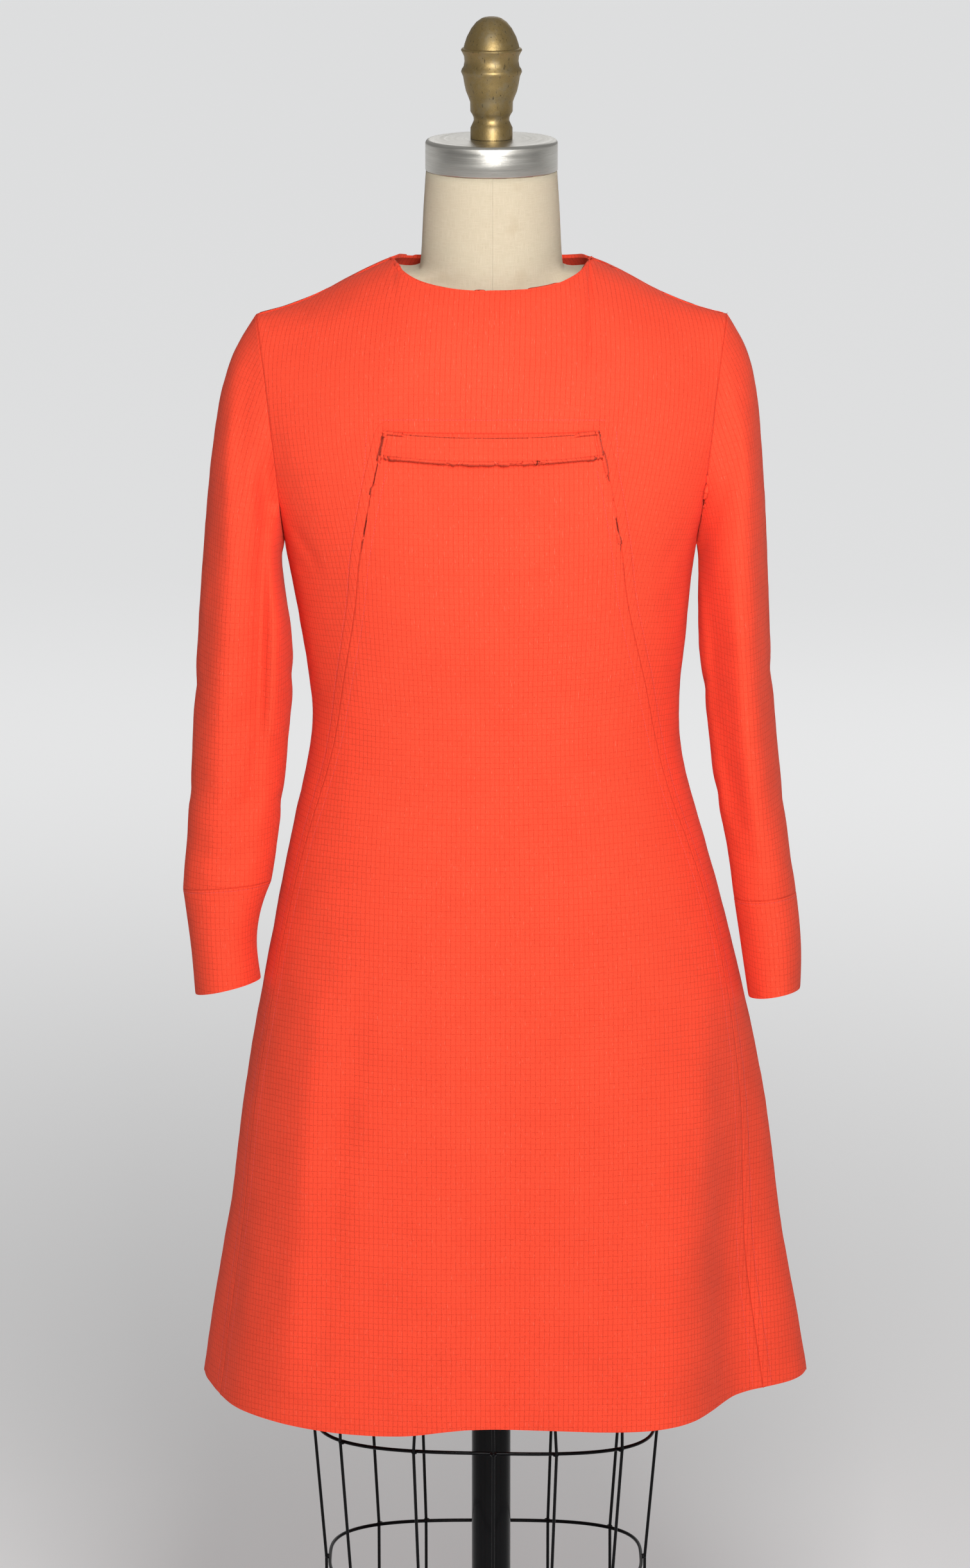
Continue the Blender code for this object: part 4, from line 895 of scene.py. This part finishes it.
# %% Lay the stitches
def slanting_ribs(name, wave, dark, light, relief, roughness, sheen):
    """Twisted or twilled yarn: slanting ribs of a wave, given as scale and distortion, with painted shading.
    """
    yarn = material(name)
    ribs = yarn.add("TexWave", {"Vector": yarn.place, "Scale": wave[0], "Distortion": wave[1]}, "Fac",
                    bands_direction="DIAGONAL")
    # the dark colour is painted shade between the ribs, the light one painted highlight on their crests
    colour = yarn.add("Mix", {0: ribs, 6: dark, 7: light}, **COLOURS)
    raised = yarn.add("Bump", {"Height": ribs, "Strength": relief[0], "Distance": relief[1]})
    return yarn.finish(Base_Color=colour, Normal=raised, Roughness=roughness, Sheen_Weight=sheen)


# two-ply polished silk: its pink, with painted shade between the ribs and painted highlight on them
silk = slanting_ribs("topstitch_silk", (1400.0, 1.5), "c92a35", "f0595c", (0.4, 0.0001), 0.5, 0.2)
STITCH_ASIDE, CUFF_ASIDE = 0.0095, 0.003
YOKE_STITCH_Z, YOKE_STITCH_ENDS = 1.3385, (-0.0975, 0.0985)      # the level line above the band
PRINCESS_X, PRINCESS_Z = 0.06, 1.304     # the princess seams lie further out and lower than this
YOKE_RUN = 0.030                         # the side fronts' stitches start this much higher
princess = seam_lines[("front_centre", "front_yoke")]
stitched = []
for side in (-1, 1):
    down = princess[(princess[:, 0] * side > PRINCESS_X) & (princess[:, 2] < PRINCESS_Z)]
    down = down[np.argsort(-down[:, 2])]
    top = down[0] + np.array([0, 0, YOKE_RUN])
    stitched += laid_spots(soften(np.vstack([top, down]), 3), "front_yoke", STITCH_ASIDE, (side, 0, 0))
    stitched += laid_spots(soften(down, 3), "front_centre", STITCH_ASIDE, (-side, 0, 0))
stitched = [spot for spot in stitched if spot.place.z < YOKE_STITCH_Z]
level = [tuple(outer_faces["front_yoke"].find_nearest(Vector((x, -0.11, YOKE_STITCH_Z)))[0])
         for x in np.linspace(*YOKE_STITCH_ENDS, 40)]
stitched += laid_spots(level, "front_yoke")
put_in(lay_copies("front_topstitching", stitch, stitched), silk, "wool_crepe")

for side_name in ("right", "left"):
    ring = seam_lines[(f"cuff_{side_name}", f"sleeve_{side_name}")]
    centre = ring.mean(axis=0)
    turn = np.arctan2(ring[:, 1] - centre[1], ring[:, 0] - centre[0])
    ring = ring[np.argsort(turn)]
    ring = soften(np.vstack([ring, ring[:1]]), 2)
    spots = laid_spots(ring, f"cuff_{side_name}", CUFF_ASIDE, (0, 0, -1))
    put_in(lay_copies(f"{side_name}_cuff_topstitching", stitch, spots), silk, "wool_crepe")

# %% [markdown]
# ## The zip
#
# A dress zip is a woven tape with a chain of small teeth. The two backs meet over it and part by about a
# millimetre, so only the teeth show as a fine bright line. The tape is the CAD solid with a woven finish. The
# teeth are one rounded block, modelled once and copied on both edges, each side half a pitch behind the
# other. The slider and the pull tab get bevelled meshes over their solids. The tab rides on its own body,
# because it swings.

# %% Zip
TOOTH_PITCH, TOOTH_ASIDE, TOOTH_SUNK = 0.0015, 0.0006, 0.0008
TOOTH_SIZE = (0.0017, 0.0008, 0.0012)
ZIP_FOOT = 0.985


def plated_nickel():
    """Nickel plate on zinc: warm grey, polished, with fine rub marks that vary its tone and roughness."""
    metal = material("plated_nickel")
    rubbed = metal.add("Mapping", {"Vector": metal.place, "Scale": (900, 900, 120)})
    rubs = metal.add("TexNoise", {"Vector": rubbed, "Scale": 3.0, "Detail": 3.0})
    colour = metal.add("Mix", {0: rubs, 6: "8b867c", 7: "b9b4a9"}, **COLOURS)
    rough = metal.add("MapRange", (rubs, 0.35, 0.7, 0.18, 0.42))
    marks = metal.add("Bump", {"Height": rubs, "Strength": 0.15, "Distance": 0.0001})
    return metal.finish(Base_Color=colour, Normal=marks, Roughness=rough, Metallic=1.0)


nickel = plated_nickel()
# polyester tape: a close herringbone, which reads as fine slanting ribs, in painted shade and highlight
tape_finish = slanting_ribs("woven_zip_tape", (400.0, 0.6), "a8200f", "d23a22", (0.5, 0.0002), 0.8, 0.15)
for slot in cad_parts["zip_tape"].material_slots:
    slot.material = tape_finish


def bevelled_copy(node, name, width):
    """A copy of a small metal solid with its edges rounded."""
    piece = copy_of(node, name)
    edit(piece, "SELECT")
    bpy.ops.mesh.dissolve_limited(angle_limit=math.radians(3))
    close()
    round_edges(piece, width, 2, 40)
    smooth_by_angle(piece, 50)
    return piece


put_in(bevelled_copy("zip_slider", "slider", 0.0003), nickel, "nickel", "zip_slider")
put_in(bevelled_copy("zip_pull", "pull_tab", 0.00025), nickel, "nickel", "zip_pull", body="zip_pull")

bpy.ops.object.select_all(action="DESELECT")
bpy.ops.mesh.primitive_cube_add(size=1)
tooth = sized("one_tooth", TOOTH_SIZE)
apply_modifier(tooth, "BEVEL", width=0.00025, segments=1)
parting = seam_lines[("back_right", "back_left")]
parting = parting[(np.abs(parting[:, 0]) < 0.004) & (parting[:, 2] > ZIP_FOOT)]
parting = parting[np.argsort(-parting[:, 2])]
parting = soften(np.c_[np.zeros(len(parting)), parting[:, 1], parting[:, 2]], 4)
parting = resample(parting, 0.004)
down_zip = resample(parting, TOOTH_PITCH)
teeth = []
for number, place in enumerate(down_zip[:-1]):
    way = Vector(down_zip[number + 1] - place).normalized()
    out = Vector((1, 0, 0)).cross(way).normalized()
    out = out if out.y > 0 else -out
    for side in (-1, 1):
        shift = Vector((side * TOOTH_ASIDE, 0, 0)) + way * (TOOTH_PITCH * 0.25 * side)
        teeth.append(Spot(Vector(place) - out * TOOTH_SUNK + shift, way, out))
put_in(lay_copies("zip_teeth", tooth, teeth), nickel, "nickel")
for model in (stitch, tooth):
    bpy.data.objects.remove(model, do_unlink=True)

# %% [markdown]
# ## The linen dress form
#
# The form is papier mache under a stretched cover of natural linen. Only the neck shows. The CAD solid has
# the right shape with few faces, so a copy gets a subdivision surface, with its sharp edges kept by creases.
# Linen is a plain weave of uneven yarns: each yarn swells and thins along its length, so the weave is drawn
# as two sets of threads whose tone comes from noise stretched along the thread. The threads run round and up
# the neck, so the pattern is drawn on the angle and the height, which also suits every height of the torso.

# %% Dress form
LINEN_THREAD_MM = 0.55
NECK_MM = 58.0
NECK_FOOT_Z, NECK_SINK, NECK_FADE = 1.464, 0.013, 0.035
NECK_RADIUS, NECK_WALL, NECK_SLOPE, SHOULDER_Z = 0.0616, 0.0632, 0.034, 1.40


def linen_cover():
    cover = material("natural_linen")
    x, y, z = cover.add("SeparateXYZ", (cover.add("VectorMath", (cover.place, MM), **TIMES),), None)
    to_front = cover.add("Math", (y, -1.0), **TIMES)
    angle = cover.add("Math", (x, to_front), operation="ARCTAN2")
    round_mm = cover.add("Math", (angle, NECK_MM), **TIMES)
    flat = cover.add("CombineXYZ", (round_mm, z))
    threads, swells = [], []
    for axis, stretch in ((round_mm, (1.3, 0.10, 1)), (z, (0.10, 1.3, 1))):
        fold = cover.add("Math", (axis, LINEN_THREAD_MM / 2), operation="PINGPONG")
        threads.append(cover.add("Math", (fold, 2 / LINEN_THREAD_MM), **TIMES))
        stretched = cover.add("Mapping", {"Vector": flat, "Scale": stretch})
        swells.append(cover.add("TexNoise", {"Vector": stretched, "Scale": 1.0, "Detail": 3.0}))
    over = cover.add("TexChecker", {"Vector": flat, "Scale": 1 / LINEN_THREAD_MM}, "Fac")
    raised = cover.add("Mix", {0: over, 2: threads[0], 3: threads[1]})
    slub = cover.add("Math", swells, operation="MAXIMUM")
    colour = cover.add("Mix", {0: slub, 6: "c2b190", 7: "e4d8c1"}, **COLOURS)
    # painted shade: the weave is darker where a thread sinks under the crossing one, lighter where it rides
    # over
    shade = cover.add("MapRange", (raised, 0.0, 1.0, 0.90, 1.03))
    colour = cover.add("Mix", {0: 1.0, 6: colour, 7: shade}, **COLOURS, blend_type="MULTIPLY")
    # years of handling leave faint brown blots
    blot = cover.add("TexNoise", {"Vector": flat, "Scale": 0.03, "Detail": 4.0})
    blot = cover.add("MapRange", (blot, 0.60, 0.80, 0.0, 0.25))
    colour = cover.add("Mix", {0: blot, 6: colour, 7: "a88c5e"}, **COLOURS)
    # a seam runs down the centre front
    from_middle = cover.add("Math", (x,), operation="ABSOLUTE")
    seam = cover.add("MapRange", (from_middle, 0.2, 1.6, -1.0, 0.0), **SOFT)
    height = cover.add("Math", (raised, 0.22), **TIMES)
    for part in (cover.add("Math", (slub, 0.2), **TIMES), seam):
        height = cover.add("Math", (height, part), **PLUS)
    weave = cover.add("Bump", {"Height": height, "Strength": 0.8, "Distance": 0.001})
    return cover.finish(Base_Color=colour, Normal=weave, Roughness=0.85, Specular_IOR_Level=0.2,
                        Sheen_Weight=0.1)


def keep_sharp(piece, degrees):
    """Creases every edge that turns by more than an angle, so a subdivision surface leaves it sharp."""
    with opened(piece, write=True) as shape:
        layers = shape.edges.layers.float
        mark = layers.get("crease_edge") or layers.new("crease_edge")
        for edge in shape.edges:
            if edge.is_manifold and edge.calc_face_angle() > math.radians(degrees):
                edge[mark] = 1.0


linen = linen_cover()
form = copy_of("form_torso", "linen_form")
edit(form, "SELECT")
to_quads()
close()
keep_sharp(form, 55)
smooth_over(form, 2)
# the neck goes straight down to its foot, and the linen lies hollow round it
places = corners(form)
radius = np.hypot(places[:, 0], places[:, 1])
near_neck = smooth_fade((radius - NECK_RADIUS) / NECK_SLOPE) * (places[:, 2] > SHOULDER_Z)
below_rings = smooth_fade((places[:, 2] - NECK_FOOT_Z) / NECK_FADE)
places[:, 2] -= NECK_SINK * near_neck * np.where(radius < NECK_WALL, below_rings, 1.0)
move_to(form, places)
smooth_by_angle(form, 50)
put_in(form, linen, "linen", "form_torso")
print("linen form has", len(form.data.polygons), "faces")

# %% [markdown]
# ## Turned parts: cap, finial, pole and base
#
# Everything round was made on a lathe, or looks it, so each one is a profile line spun round the upright
# axis. A primitive cylinder would give the pole, but none of the rounded edges, and the finial is all edges.
# The profile is drawn at the axis distance and height of each corner, and the spin has enough steps that its
# outline shows no corners.

# %% Lathe
CAP_TOP_Z = 1.560
CAP_RADIUS = 0.056
EDGE_ROLL = 0.0035         # radius of a rolled or filed edge
FIT_GAP = 0.0003


def turn_on_lathe(name, profile, steps=96, bevel=0.0):
    """Spins a profile of (radius, height) round the upright axis and closes it."""
    mesh = bpy.data.meshes.new(name)
    mesh.from_pydata([(radius, 0, height) for radius, height in profile],
                     [(i, i + 1) for i in range(len(profile) - 1)], [])
    piece = in_scene(name, mesh)
    edit(piece, "SELECT", "VERT")
    bpy.ops.mesh.spin(steps=steps, angle=2 * math.pi, center=(0, 0, 0), axis=(0, 0, 1))
    bpy.ops.mesh.select_all(action="SELECT")
    bpy.ops.mesh.remove_doubles(threshold=0.00002)
    bpy.ops.mesh.normals_make_consistent(inside=False)
    close()
    if bevel:
        round_edges(piece, bevel, 3, 30)
    smooth_by_angle(piece, 40)
    print(f"{name}: {len(piece.data.polygons)} faces")
    return piece


# %% [markdown]
# ### Brushed steel
#
# A cap like this is spun from sheet steel and brushed while it turns, so its scratches run round it. They
# spread a highlight upward and down. The scratches are noise that is long round the cap and short up it:
# real ones are 0.05 mm, and these are drawn 0.4 mm high so that they show.

# %% Neck cap
def brushed_steel():
    steel = material("brushed_steel_cap")
    mm = steel.add("VectorMath", (steel.place, MM), **TIMES)
    x, y, z = steel.add("SeparateXYZ", (mm,), None)
    level = steel.add("VectorMath", (mm, (1, 1, 0)), **TIMES)
    radius = steel.add("VectorMath", (level,), "Value", operation="LENGTH")
    angle = steel.add("Math", (x, y), operation="ARCTAN2")
    drawn = steel.add("CombineXYZ", (steel.add("Math", (angle, 1.2), **TIMES), z, radius))
    fine = steel.add("TexNoise", {"Vector": drawn, "Scale": 2.4, "Detail": 4.0, "Roughness": 0.7})
    colour = steel.add("Mix", {0: fine, 6: "a8a49b", 7: "d9d7d1"}, **COLOURS)
    rough = steel.add("TexNoise", {"Vector": drawn, "Scale": 0.35})
    rough = steel.add("MapRange", (rough, 0.3, 0.7, 0.27, 0.42))
    scratches = steel.add("Bump", {"Height": fine, "Strength": 0.25, "Distance": 0.0002})
    return steel.finish(Base_Color=colour, Normal=scratches, Roughness=rough, Metallic=1.0, Anisotropic=0.5)


def rounded(radius, top, roll, degrees):
    """Places on a rounded outer edge of a profile, from near its top to its side."""
    return [(radius + roll * (math.sin(t) - 1), top + roll * (math.cos(t) - 1))
            for t in (math.radians(d) for d in degrees)]


CAP_FOOT_Z = 1.533 + FIT_GAP
cap_profile = [(0, CAP_TOP_Z), (0.046, CAP_TOP_Z), (0.0500, CAP_TOP_Z - 0.0003),
               (0.0525, CAP_TOP_Z - 0.0004)]
cap_profile += rounded(CAP_RADIUS, CAP_TOP_Z - 0.0004, EDGE_ROLL, (15, 35, 55, 75, 90))
cap_profile += [(CAP_RADIUS, 1.545), (CAP_RADIUS, CAP_FOOT_Z + 0.0010),
                (CAP_RADIUS - 0.0004, CAP_FOOT_Z + 0.0003), (CAP_RADIUS - 0.001, CAP_FOOT_Z),
                (0, CAP_FOOT_Z)]
put_in(turn_on_lathe("steel_neck_cap", cap_profile, 128), brushed_steel(), "brushed_steel", "neck_cap")

# %% [markdown]
# ### Gilt finial
#
# Turned wood, gessoed, painted with bronze powder and rubbed. Bronze paint has a soft metallic glow rather
# than a mirror, it has gone grey where hands have worn it, and chips on the ridges show the dark ground.

# %% Finial
def bronze_paint():
    bronze = material("rubbed_bronze_paint")
    mm = bronze.add("VectorMath", (bronze.place, MM), **TIMES)
    worn = bronze.add("TexNoise", {"Vector": mm, "Scale": 0.09, "Detail": 5.0, "Roughness": 0.65})
    streaks = bronze.add("Mapping", {"Vector": mm, "Scale": (0.5, 0.5, 0.06), "Rotation": (0.5, 0.3, 0)})
    scratch = bronze.add("TexNoise", {"Vector": streaks, "Scale": 1.6})
    powder = bronze.add("TexNoise", {"Vector": mm, "Scale": 1.2, "Detail": 3.0})
    colour = bronze.add("Mix", {0: powder, 6: "7c6842", 7: "9b8556"}, **COLOURS)
    greyed = bronze.add("MapRange", (worn, 0.48, 0.68, 0.0, 0.55))
    chipped = bronze.add("MapRange", (scratch, 0.66, 0.70, 0.0, 0.8))
    for share, tone in ((greyed, "8a8069"), (chipped, "3c352a")):
        colour = bronze.add("Mix", {0: share, 6: colour, 7: tone}, **COLOURS)
    rough = bronze.add("MapRange", (worn, 0.3, 0.7, 0.40, 0.52))
    dents = bronze.add("Bump", {"Height": worn, "Strength": 0.35, "Distance": 0.001})
    return bronze.finish(Base_Color=colour, Normal=dents, Roughness=rough, Metallic=0.75)


FINIAL = [
    (0.0, 0.1022), (0.0040, 0.1022), (0.0060, 0.1018), (0.0083, 0.1010), (0.0129, 0.0978),
    (0.0171, 0.0925), (0.0208, 0.0855), (0.0227, 0.0798), (0.0236, 0.0763), (0.0252, 0.0757),
    (0.0258, 0.0743), (0.0246, 0.0721), (0.0232, 0.0692), (0.0228, 0.0651), (0.0236, 0.0606),
    (0.0252, 0.0582), (0.0257, 0.0561), (0.0248, 0.0541), (0.0240, 0.0521), (0.0229, 0.0455),
    (0.0216, 0.0398), (0.0196, 0.0349), (0.0181, 0.0308), (0.0179, 0.0228), (0.0163, 0.0202),
    (0.0152, 0.0178), (0.0150, 0.0153), (0.0165, 0.0117), (0.0178, 0.0090), (0.0178, 0.0),
    (0.0, 0.0),
]
finial_foot = CAP_TOP_Z + FIT_GAP
finial = turn_on_lathe("gilt_finial", [(r, finial_foot + z) for r, z in FINIAL], 72)
put_in(finial, bronze_paint(), "aged_brass", "finial")

# %% [markdown]
# ### Black enamel
#
# The stand is cast and bent steel, sprayed with gloss black enamel. Enamel is a smooth dielectric film:
# a nearly black body with a clear reflection, orange peel of about a millimetre, and dust lying on what
# faces up.

# %% Pole and base
def gloss_enamel():
    enamel = material("gloss_black_enamel")
    mm = enamel.add("VectorMath", (enamel.place, MM), **TIMES)
    dust = enamel.add("TexNoise", {"Vector": mm, "Scale": 0.05, "Detail": 6.0, "Roughness": 0.7})
    facing_up = enamel.add("SeparateXYZ", (enamel.add("NewGeometry", output="Normal"),), "Z")
    settled = enamel.add("MapRange", (facing_up, 0.5, 1.0, 0.0, 0.08))
    settled = enamel.add("Math", (settled, dust), **TIMES)
    colour = enamel.add("Mix", {0: settled, 6: "0c0c0e", 7: "8e8a84"}, **COLOURS)
    rough = enamel.add("MapRange", (dust, 0.3, 0.8, 0.10, 0.26))
    peel_mm = enamel.add("TexNoise", {"Vector": mm, "Scale": 0.5})
    orange_peel = enamel.add("Bump", {"Height": peel_mm, "Strength": 0.08, "Distance": 0.0005})
    return enamel.finish(Base_Color=colour, Normal=orange_peel, Roughness=rough, Specular_IOR_Level=0.1)


enamel = gloss_enamel()
BASE_RADIUS, HUB_RADIUS, HUB_TOP = 0.240, 0.032, 0.070
POLE_RADIUS, POLE_FOOT, POLE_TOP = 0.01725, 0.018 + FIT_GAP, 0.80 - FIT_GAP
pole_profile = [(0, POLE_TOP), (POLE_RADIUS, POLE_TOP), (POLE_RADIUS, POLE_FOOT), (0, POLE_FOOT)]
put_in(turn_on_lathe("pole", pole_profile, 64, 0.0008), enamel, "black_gloss", "pole")
socket = POLE_RADIUS + FIT_GAP
base_profile = [(0, 0.018), (socket, 0.018), (socket, HUB_TOP), (HUB_RADIUS - EDGE_ROLL, HUB_TOP)]
base_profile += rounded(HUB_RADIUS, HUB_TOP, EDGE_ROLL, (20, 45, 70, 90))
base_profile += [(HUB_RADIUS, 0.034), (HUB_RADIUS + 0.0012, 0.0300), (HUB_RADIUS + 0.005, 0.0268),
                 (HUB_RADIUS + 0.012, 0.025), (0.09, 0.0236), (BASE_RADIUS * 0.6, 0.020), (0.19, 0.0165),
                 (0.222, 0.0136), (BASE_RADIUS - 0.006, 0.0116), (BASE_RADIUS - 0.002, 0.0100),
                 (BASE_RADIUS - 0.0003, 0.0080), (BASE_RADIUS, 0.006), (BASE_RADIUS, 0.001),
                 (BASE_RADIUS - 0.001, 0), (0, 0)]
put_in(turn_on_lathe("cast_base", base_profile, 160), enamel, "black_gloss", "base")

# %% [markdown]
# ## The wire cage
#
# A cage under the torso keeps a skirt off the pole. It is welded from bent rod: three rounded hoops, and
# twelve uprights that hang outside them. Each rod is a curve with a round bevel, turned into a mesh. Each
# crossing has a weld bead, a squashed ball that bridges the two rods.

# %% Cage
RING_RADIUS, UPRIGHT_RADIUS, WELD_DEPTH, BEAD_RADIUS = 0.0016, 0.0014, 0.0006, 0.0027
CAGE_X, CAGE_FOOT_Z, HOOP_STEPS = -0.005, 0.152, 144
CageLevel = namedtuple("CageLevel", "z half_width half_depth power fall")
HOOPS = [
    CageLevel(0.4230, 0.1500, 0.1000, 3.1, 0.0030),
    CageLevel(0.2900, 0.1390, 0.0900, 3.1, 0.0),
    CageLevel(0.1580, 0.1390, 0.0970, 3.1, 0.0),
]
CAGE_TOP = CageLevel(0.80 - FIT_GAP, 0.1740, 0.1060, 2.0, 0.0)
# share of the way out to the side, in front (-1) or behind (1), and the hoop it is part of
UPRIGHTS = [(-0.830, -1, 0), (-0.410, -1, 0), (0.045, -1, 1), (0.404, -1, 0), (0.780, -1, 0), (1.000, 1, 0),
            (0.797, 1, 2), (0.398, 1, 0), (0.010, 1, 0), (-0.380, 1, 0), (-0.680, 1, 0), (-1.000, 1, 3)]


def oval_place(level, turn, beyond=0.0):
    """A place on a hoop's rounded oval, or beyond it by a distance. The turn starts at the front."""
    across = math.copysign(abs(math.sin(turn)) ** (2 / level.power), math.sin(turn))
    deep = math.copysign(abs(math.cos(turn)) ** (2 / level.power), math.cos(turn))
    return Vector((CAGE_X + (level.half_width + beyond) * across, -(level.half_depth + beyond) * deep,
                   level.z - level.fall * across))


def rod(name, places, radius, closed=False):
    """A round rod along a line, as a mesh."""
    curve = bpy.data.curves.new(name, "CURVE")
    curve.dimensions = "3D"
    curve.bevel_depth = radius
    curve.bevel_resolution = 3
    curve.use_fill_caps = True
    line = curve.splines.new("POLY")
    line.points.add(len(places) - 1)
    for point, place in zip(line.points, places):
        point.co = (*place, 1)
    line.use_cyclic_u = closed
    only(in_scene(name, curve))
    bpy.ops.object.convert(target="MESH")
    smooth_by_angle(bpy.context.object, 50)
    return bpy.context.object


def merge(name, pieces):
    """Joins pieces into the first one under a new name."""
    only(pieces[0])
    for piece in pieces[1:]:
        piece.select_set(True)
    bpy.ops.object.join()
    pieces[0].name = pieces[0].data.name = name
    return pieces[0]


def even_turns(level, steps):
    """Turns whose places lie evenly spaced round a hoop."""
    fine = [2 * math.pi * i / 2000 for i in range(2001)]
    places = np.array([oval_place(level, turn) for turn in fine])
    run = np.r_[0, np.cumsum(np.linalg.norm(np.diff(places, axis=0), axis=1))]
    return np.interp(np.arange(steps) * run[-1] / steps, run, fine)


def weld_bead(place):
    bpy.ops.object.select_all(action="DESELECT")
    bpy.ops.mesh.primitive_ico_sphere_add(subdivisions=2, radius=BEAD_RADIUS, location=place)
    bead = sized("weld_bead", (1.15, 1.15, 0.8))
    bead.data.shade_smooth()
    return bead


hoop_parts = {}
for number, level in enumerate(HOOPS, start=1):
    line = [oval_place(level, turn) for turn in even_turns(level, HOOP_STEPS)]
    hoop_parts[number] = [rod(f"hoop_{number}", line, RING_RADIUS, closed=True)]
wire_number = 0
for share, side, welded in UPRIGHTS:
    turn = math.copysign(math.asin(abs(share) ** (HOOPS[0].power / 2)), share)
    turn = turn if side < 0 else math.pi - turn
    line = [oval_place(CAGE_TOP, turn)]
    for number, level in enumerate(HOOPS, start=1):
        beyond = RING_RADIUS + UPRIGHT_RADIUS + (-WELD_DEPTH if number == welded else FIT_GAP)
        line.append(oval_place(level, turn, beyond))
        hoop_parts[number].append(weld_bead(oval_place(level, turn, RING_RADIUS + 0.0002)))
    line.append(line[-1] + Vector((0, 0, CAGE_FOOT_Z - line[-1].z)))
    if welded:
        hoop_parts[welded].append(rod("welded_upright", line, UPRIGHT_RADIUS))
        continue
    wire_number += 1
    upright = rod(f"cage_upright_{wire_number}", line, UPRIGHT_RADIUS)
    put_in(upright, enamel, "black_gloss", f"cage_wire_{wire_number}")
for number, parts in hoop_parts.items():
    put_in(merge(f"cage_hoop_{number}", parts), enamel, "black_gloss", f"cage_ring_{number}")
print("cage: 3 hoops and", wire_number, "free uprights")

# %% [markdown]
# ## Floor and light
#
# A pale seamless floor runs back far enough to fill the view, so there is no wall and the dress can be looked
# at from any side. The main light is a softbox close in front and above, so the chest is brightest and the
# hem and both sides fall off. A narrow strip puts the bright middle on the steel cap. Lamps at the side and
# behind keep the shadows open.

# %% Floor
FLOOR_SIDE = 80.0
# painted light on the floor: its tone near and far off, and how much it glows far off
FLOOR_NEAR_PAINTED_LIGHT, FLOOR_FAR_PAINTED_SHADE, FAR_PAINTED_GLOW = "fafafa", "eaeaea", 0.50


def studio_floor():
    """Matt pale paint with the slightest mottle, and painted light that makes it lighter away from the
    camera.
    """
    paint = material("pale_studio_floor")
    depth = paint.add("SeparateXYZ", (paint.place,), "Y")
    # painted shade: the floor's tone dulls further back
    further = paint.add("MapRange", (depth, -0.5, 6.0, 0.0, 1.0))
    colour = paint.add("Mix", {0: further, 6: FLOOR_NEAR_PAINTED_LIGHT, 7: FLOOR_FAR_PAINTED_SHADE}, **COLOURS)
    # painted light: the floor glows, more the further back it lies
    glow = paint.add("MapRange", (depth, 0.3, 5.0, 0.05, FAR_PAINTED_GLOW), **SOFT)
    mottle = paint.add("TexNoise", {"Vector": paint.place, "Scale": 30.0, "Detail": 4.0})
    mottled = paint.add("Bump", {"Height": mottle, "Strength": 0.05, "Distance": 0.001})
    return paint.finish(Base_Color=colour, Normal=mottled, Roughness=0.9, Specular_IOR_Level=0.1,
                        Emission_Color="f4f5f6", Emission_Strength=glow)


bpy.ops.object.select_all(action="DESELECT")
bpy.ops.mesh.primitive_grid_add(x_subdivisions=8, y_subdivisions=8, size=FLOOR_SIDE)
floor = bpy.context.object
floor.name = "studio_floor"
dress(floor, studio_floor())

# %% [markdown]
# ### A room to reflect
#
# Plain metal shows what is round it. A studio is bright behind the camera and behind the dress, and dark on
# both sides, where the lamps stand. The world is painted that way by the compass direction, so that the
# steel cap gets its bright middle and two dark bands, and the sides of the dress fall into shade.

# %% World and lamps
WORLD_STRENGTH = 0.56
CEILING = (0.75, 0.75, 0.75, 1)
# the light by direction: share of a half turn from behind the camera, and brightness
ROOM = [(0.0, 0.90), (0.08, 0.80), (0.15, 0.10), (0.42, 0.10), (0.55, 0.45), (1.0, 0.60)]
Lamp = namedtuple("Lamp", "name place aim size watts")
LAMPS = [
    Lamp("key_softbox", (0.20, -1.9, 2.00), (0, 0, 1.17), (0.6, 0.6), 42),
    Lamp("front_strip", (0.03, -3.3, 1.60), (0, 0, 1.40), (0.35, 1.0), 9),
    Lamp("side_softbox", (3.2, -2.2, 2.0), (0, 0, 1.0), (1.4, 2.2), 2.5),
    Lamp("back_softbox", (0.6, 4.2, 3.0), (0, 0, 1.0), (2.6, 2.0), 16),
]


def paint_room(world):
    """Makes the world's light depend on the compass direction, darker at both sides."""
    room = Recipe(world)
    x, y, z = room.add("SeparateXYZ", (room.add("TexCoord", output="Generated"),), None)
    to_camera = room.add("Math", (y, -1.0), **TIMES)
    angle = room.add("Math", (x, to_camera), operation="ARCTAN2")
    turn = room.add("Math", (angle,), operation="ABSOLUTE")
    tone = room.add("ValToRGB", (room.add("Math", (turn, math.pi), operation="DIVIDE"),))
    ramp = tone.node.color_ramp
    ramp.interpolation = "B_SPLINE"
    while len(ramp.elements) < len(ROOM):
        ramp.elements.new(0.5)
    for stop, (place, light) in zip(ramp.elements, ROOM):
        stop.position, stop.color = place, (light, light, light, 1)
    overhead = room.add("MapRange", (z, 0.45, 0.9, 0.0, 1.0))
    colour = room.add("Mix", {0: overhead, 6: tone, 7: CEILING}, **COLOURS)
    room.finish("Background", Color=colour, Strength=WORLD_STRENGTH)
    return world


scene = bpy.context.scene
scene.view_settings.view_transform = "Standard"
scene.world = paint_room(bpy.data.worlds.new("pale_studio"))
for lamp in LAMPS:
    bpy.ops.object.light_add(type="AREA", location=lamp.place)
    made = bpy.context.object
    made.name = lamp.name
    made.data.shape = "RECTANGLE"
    made.data.size, made.data.size_y = lamp.size
    made.data.energy = lamp.watts
    made.visible_camera = False
    made.rotation_euler = (Vector(lamp.aim) - Vector(lamp.place)).to_track_quat("-Z", "Y").to_euler()
print("lamps:", [lamp.name for lamp in LAMPS])
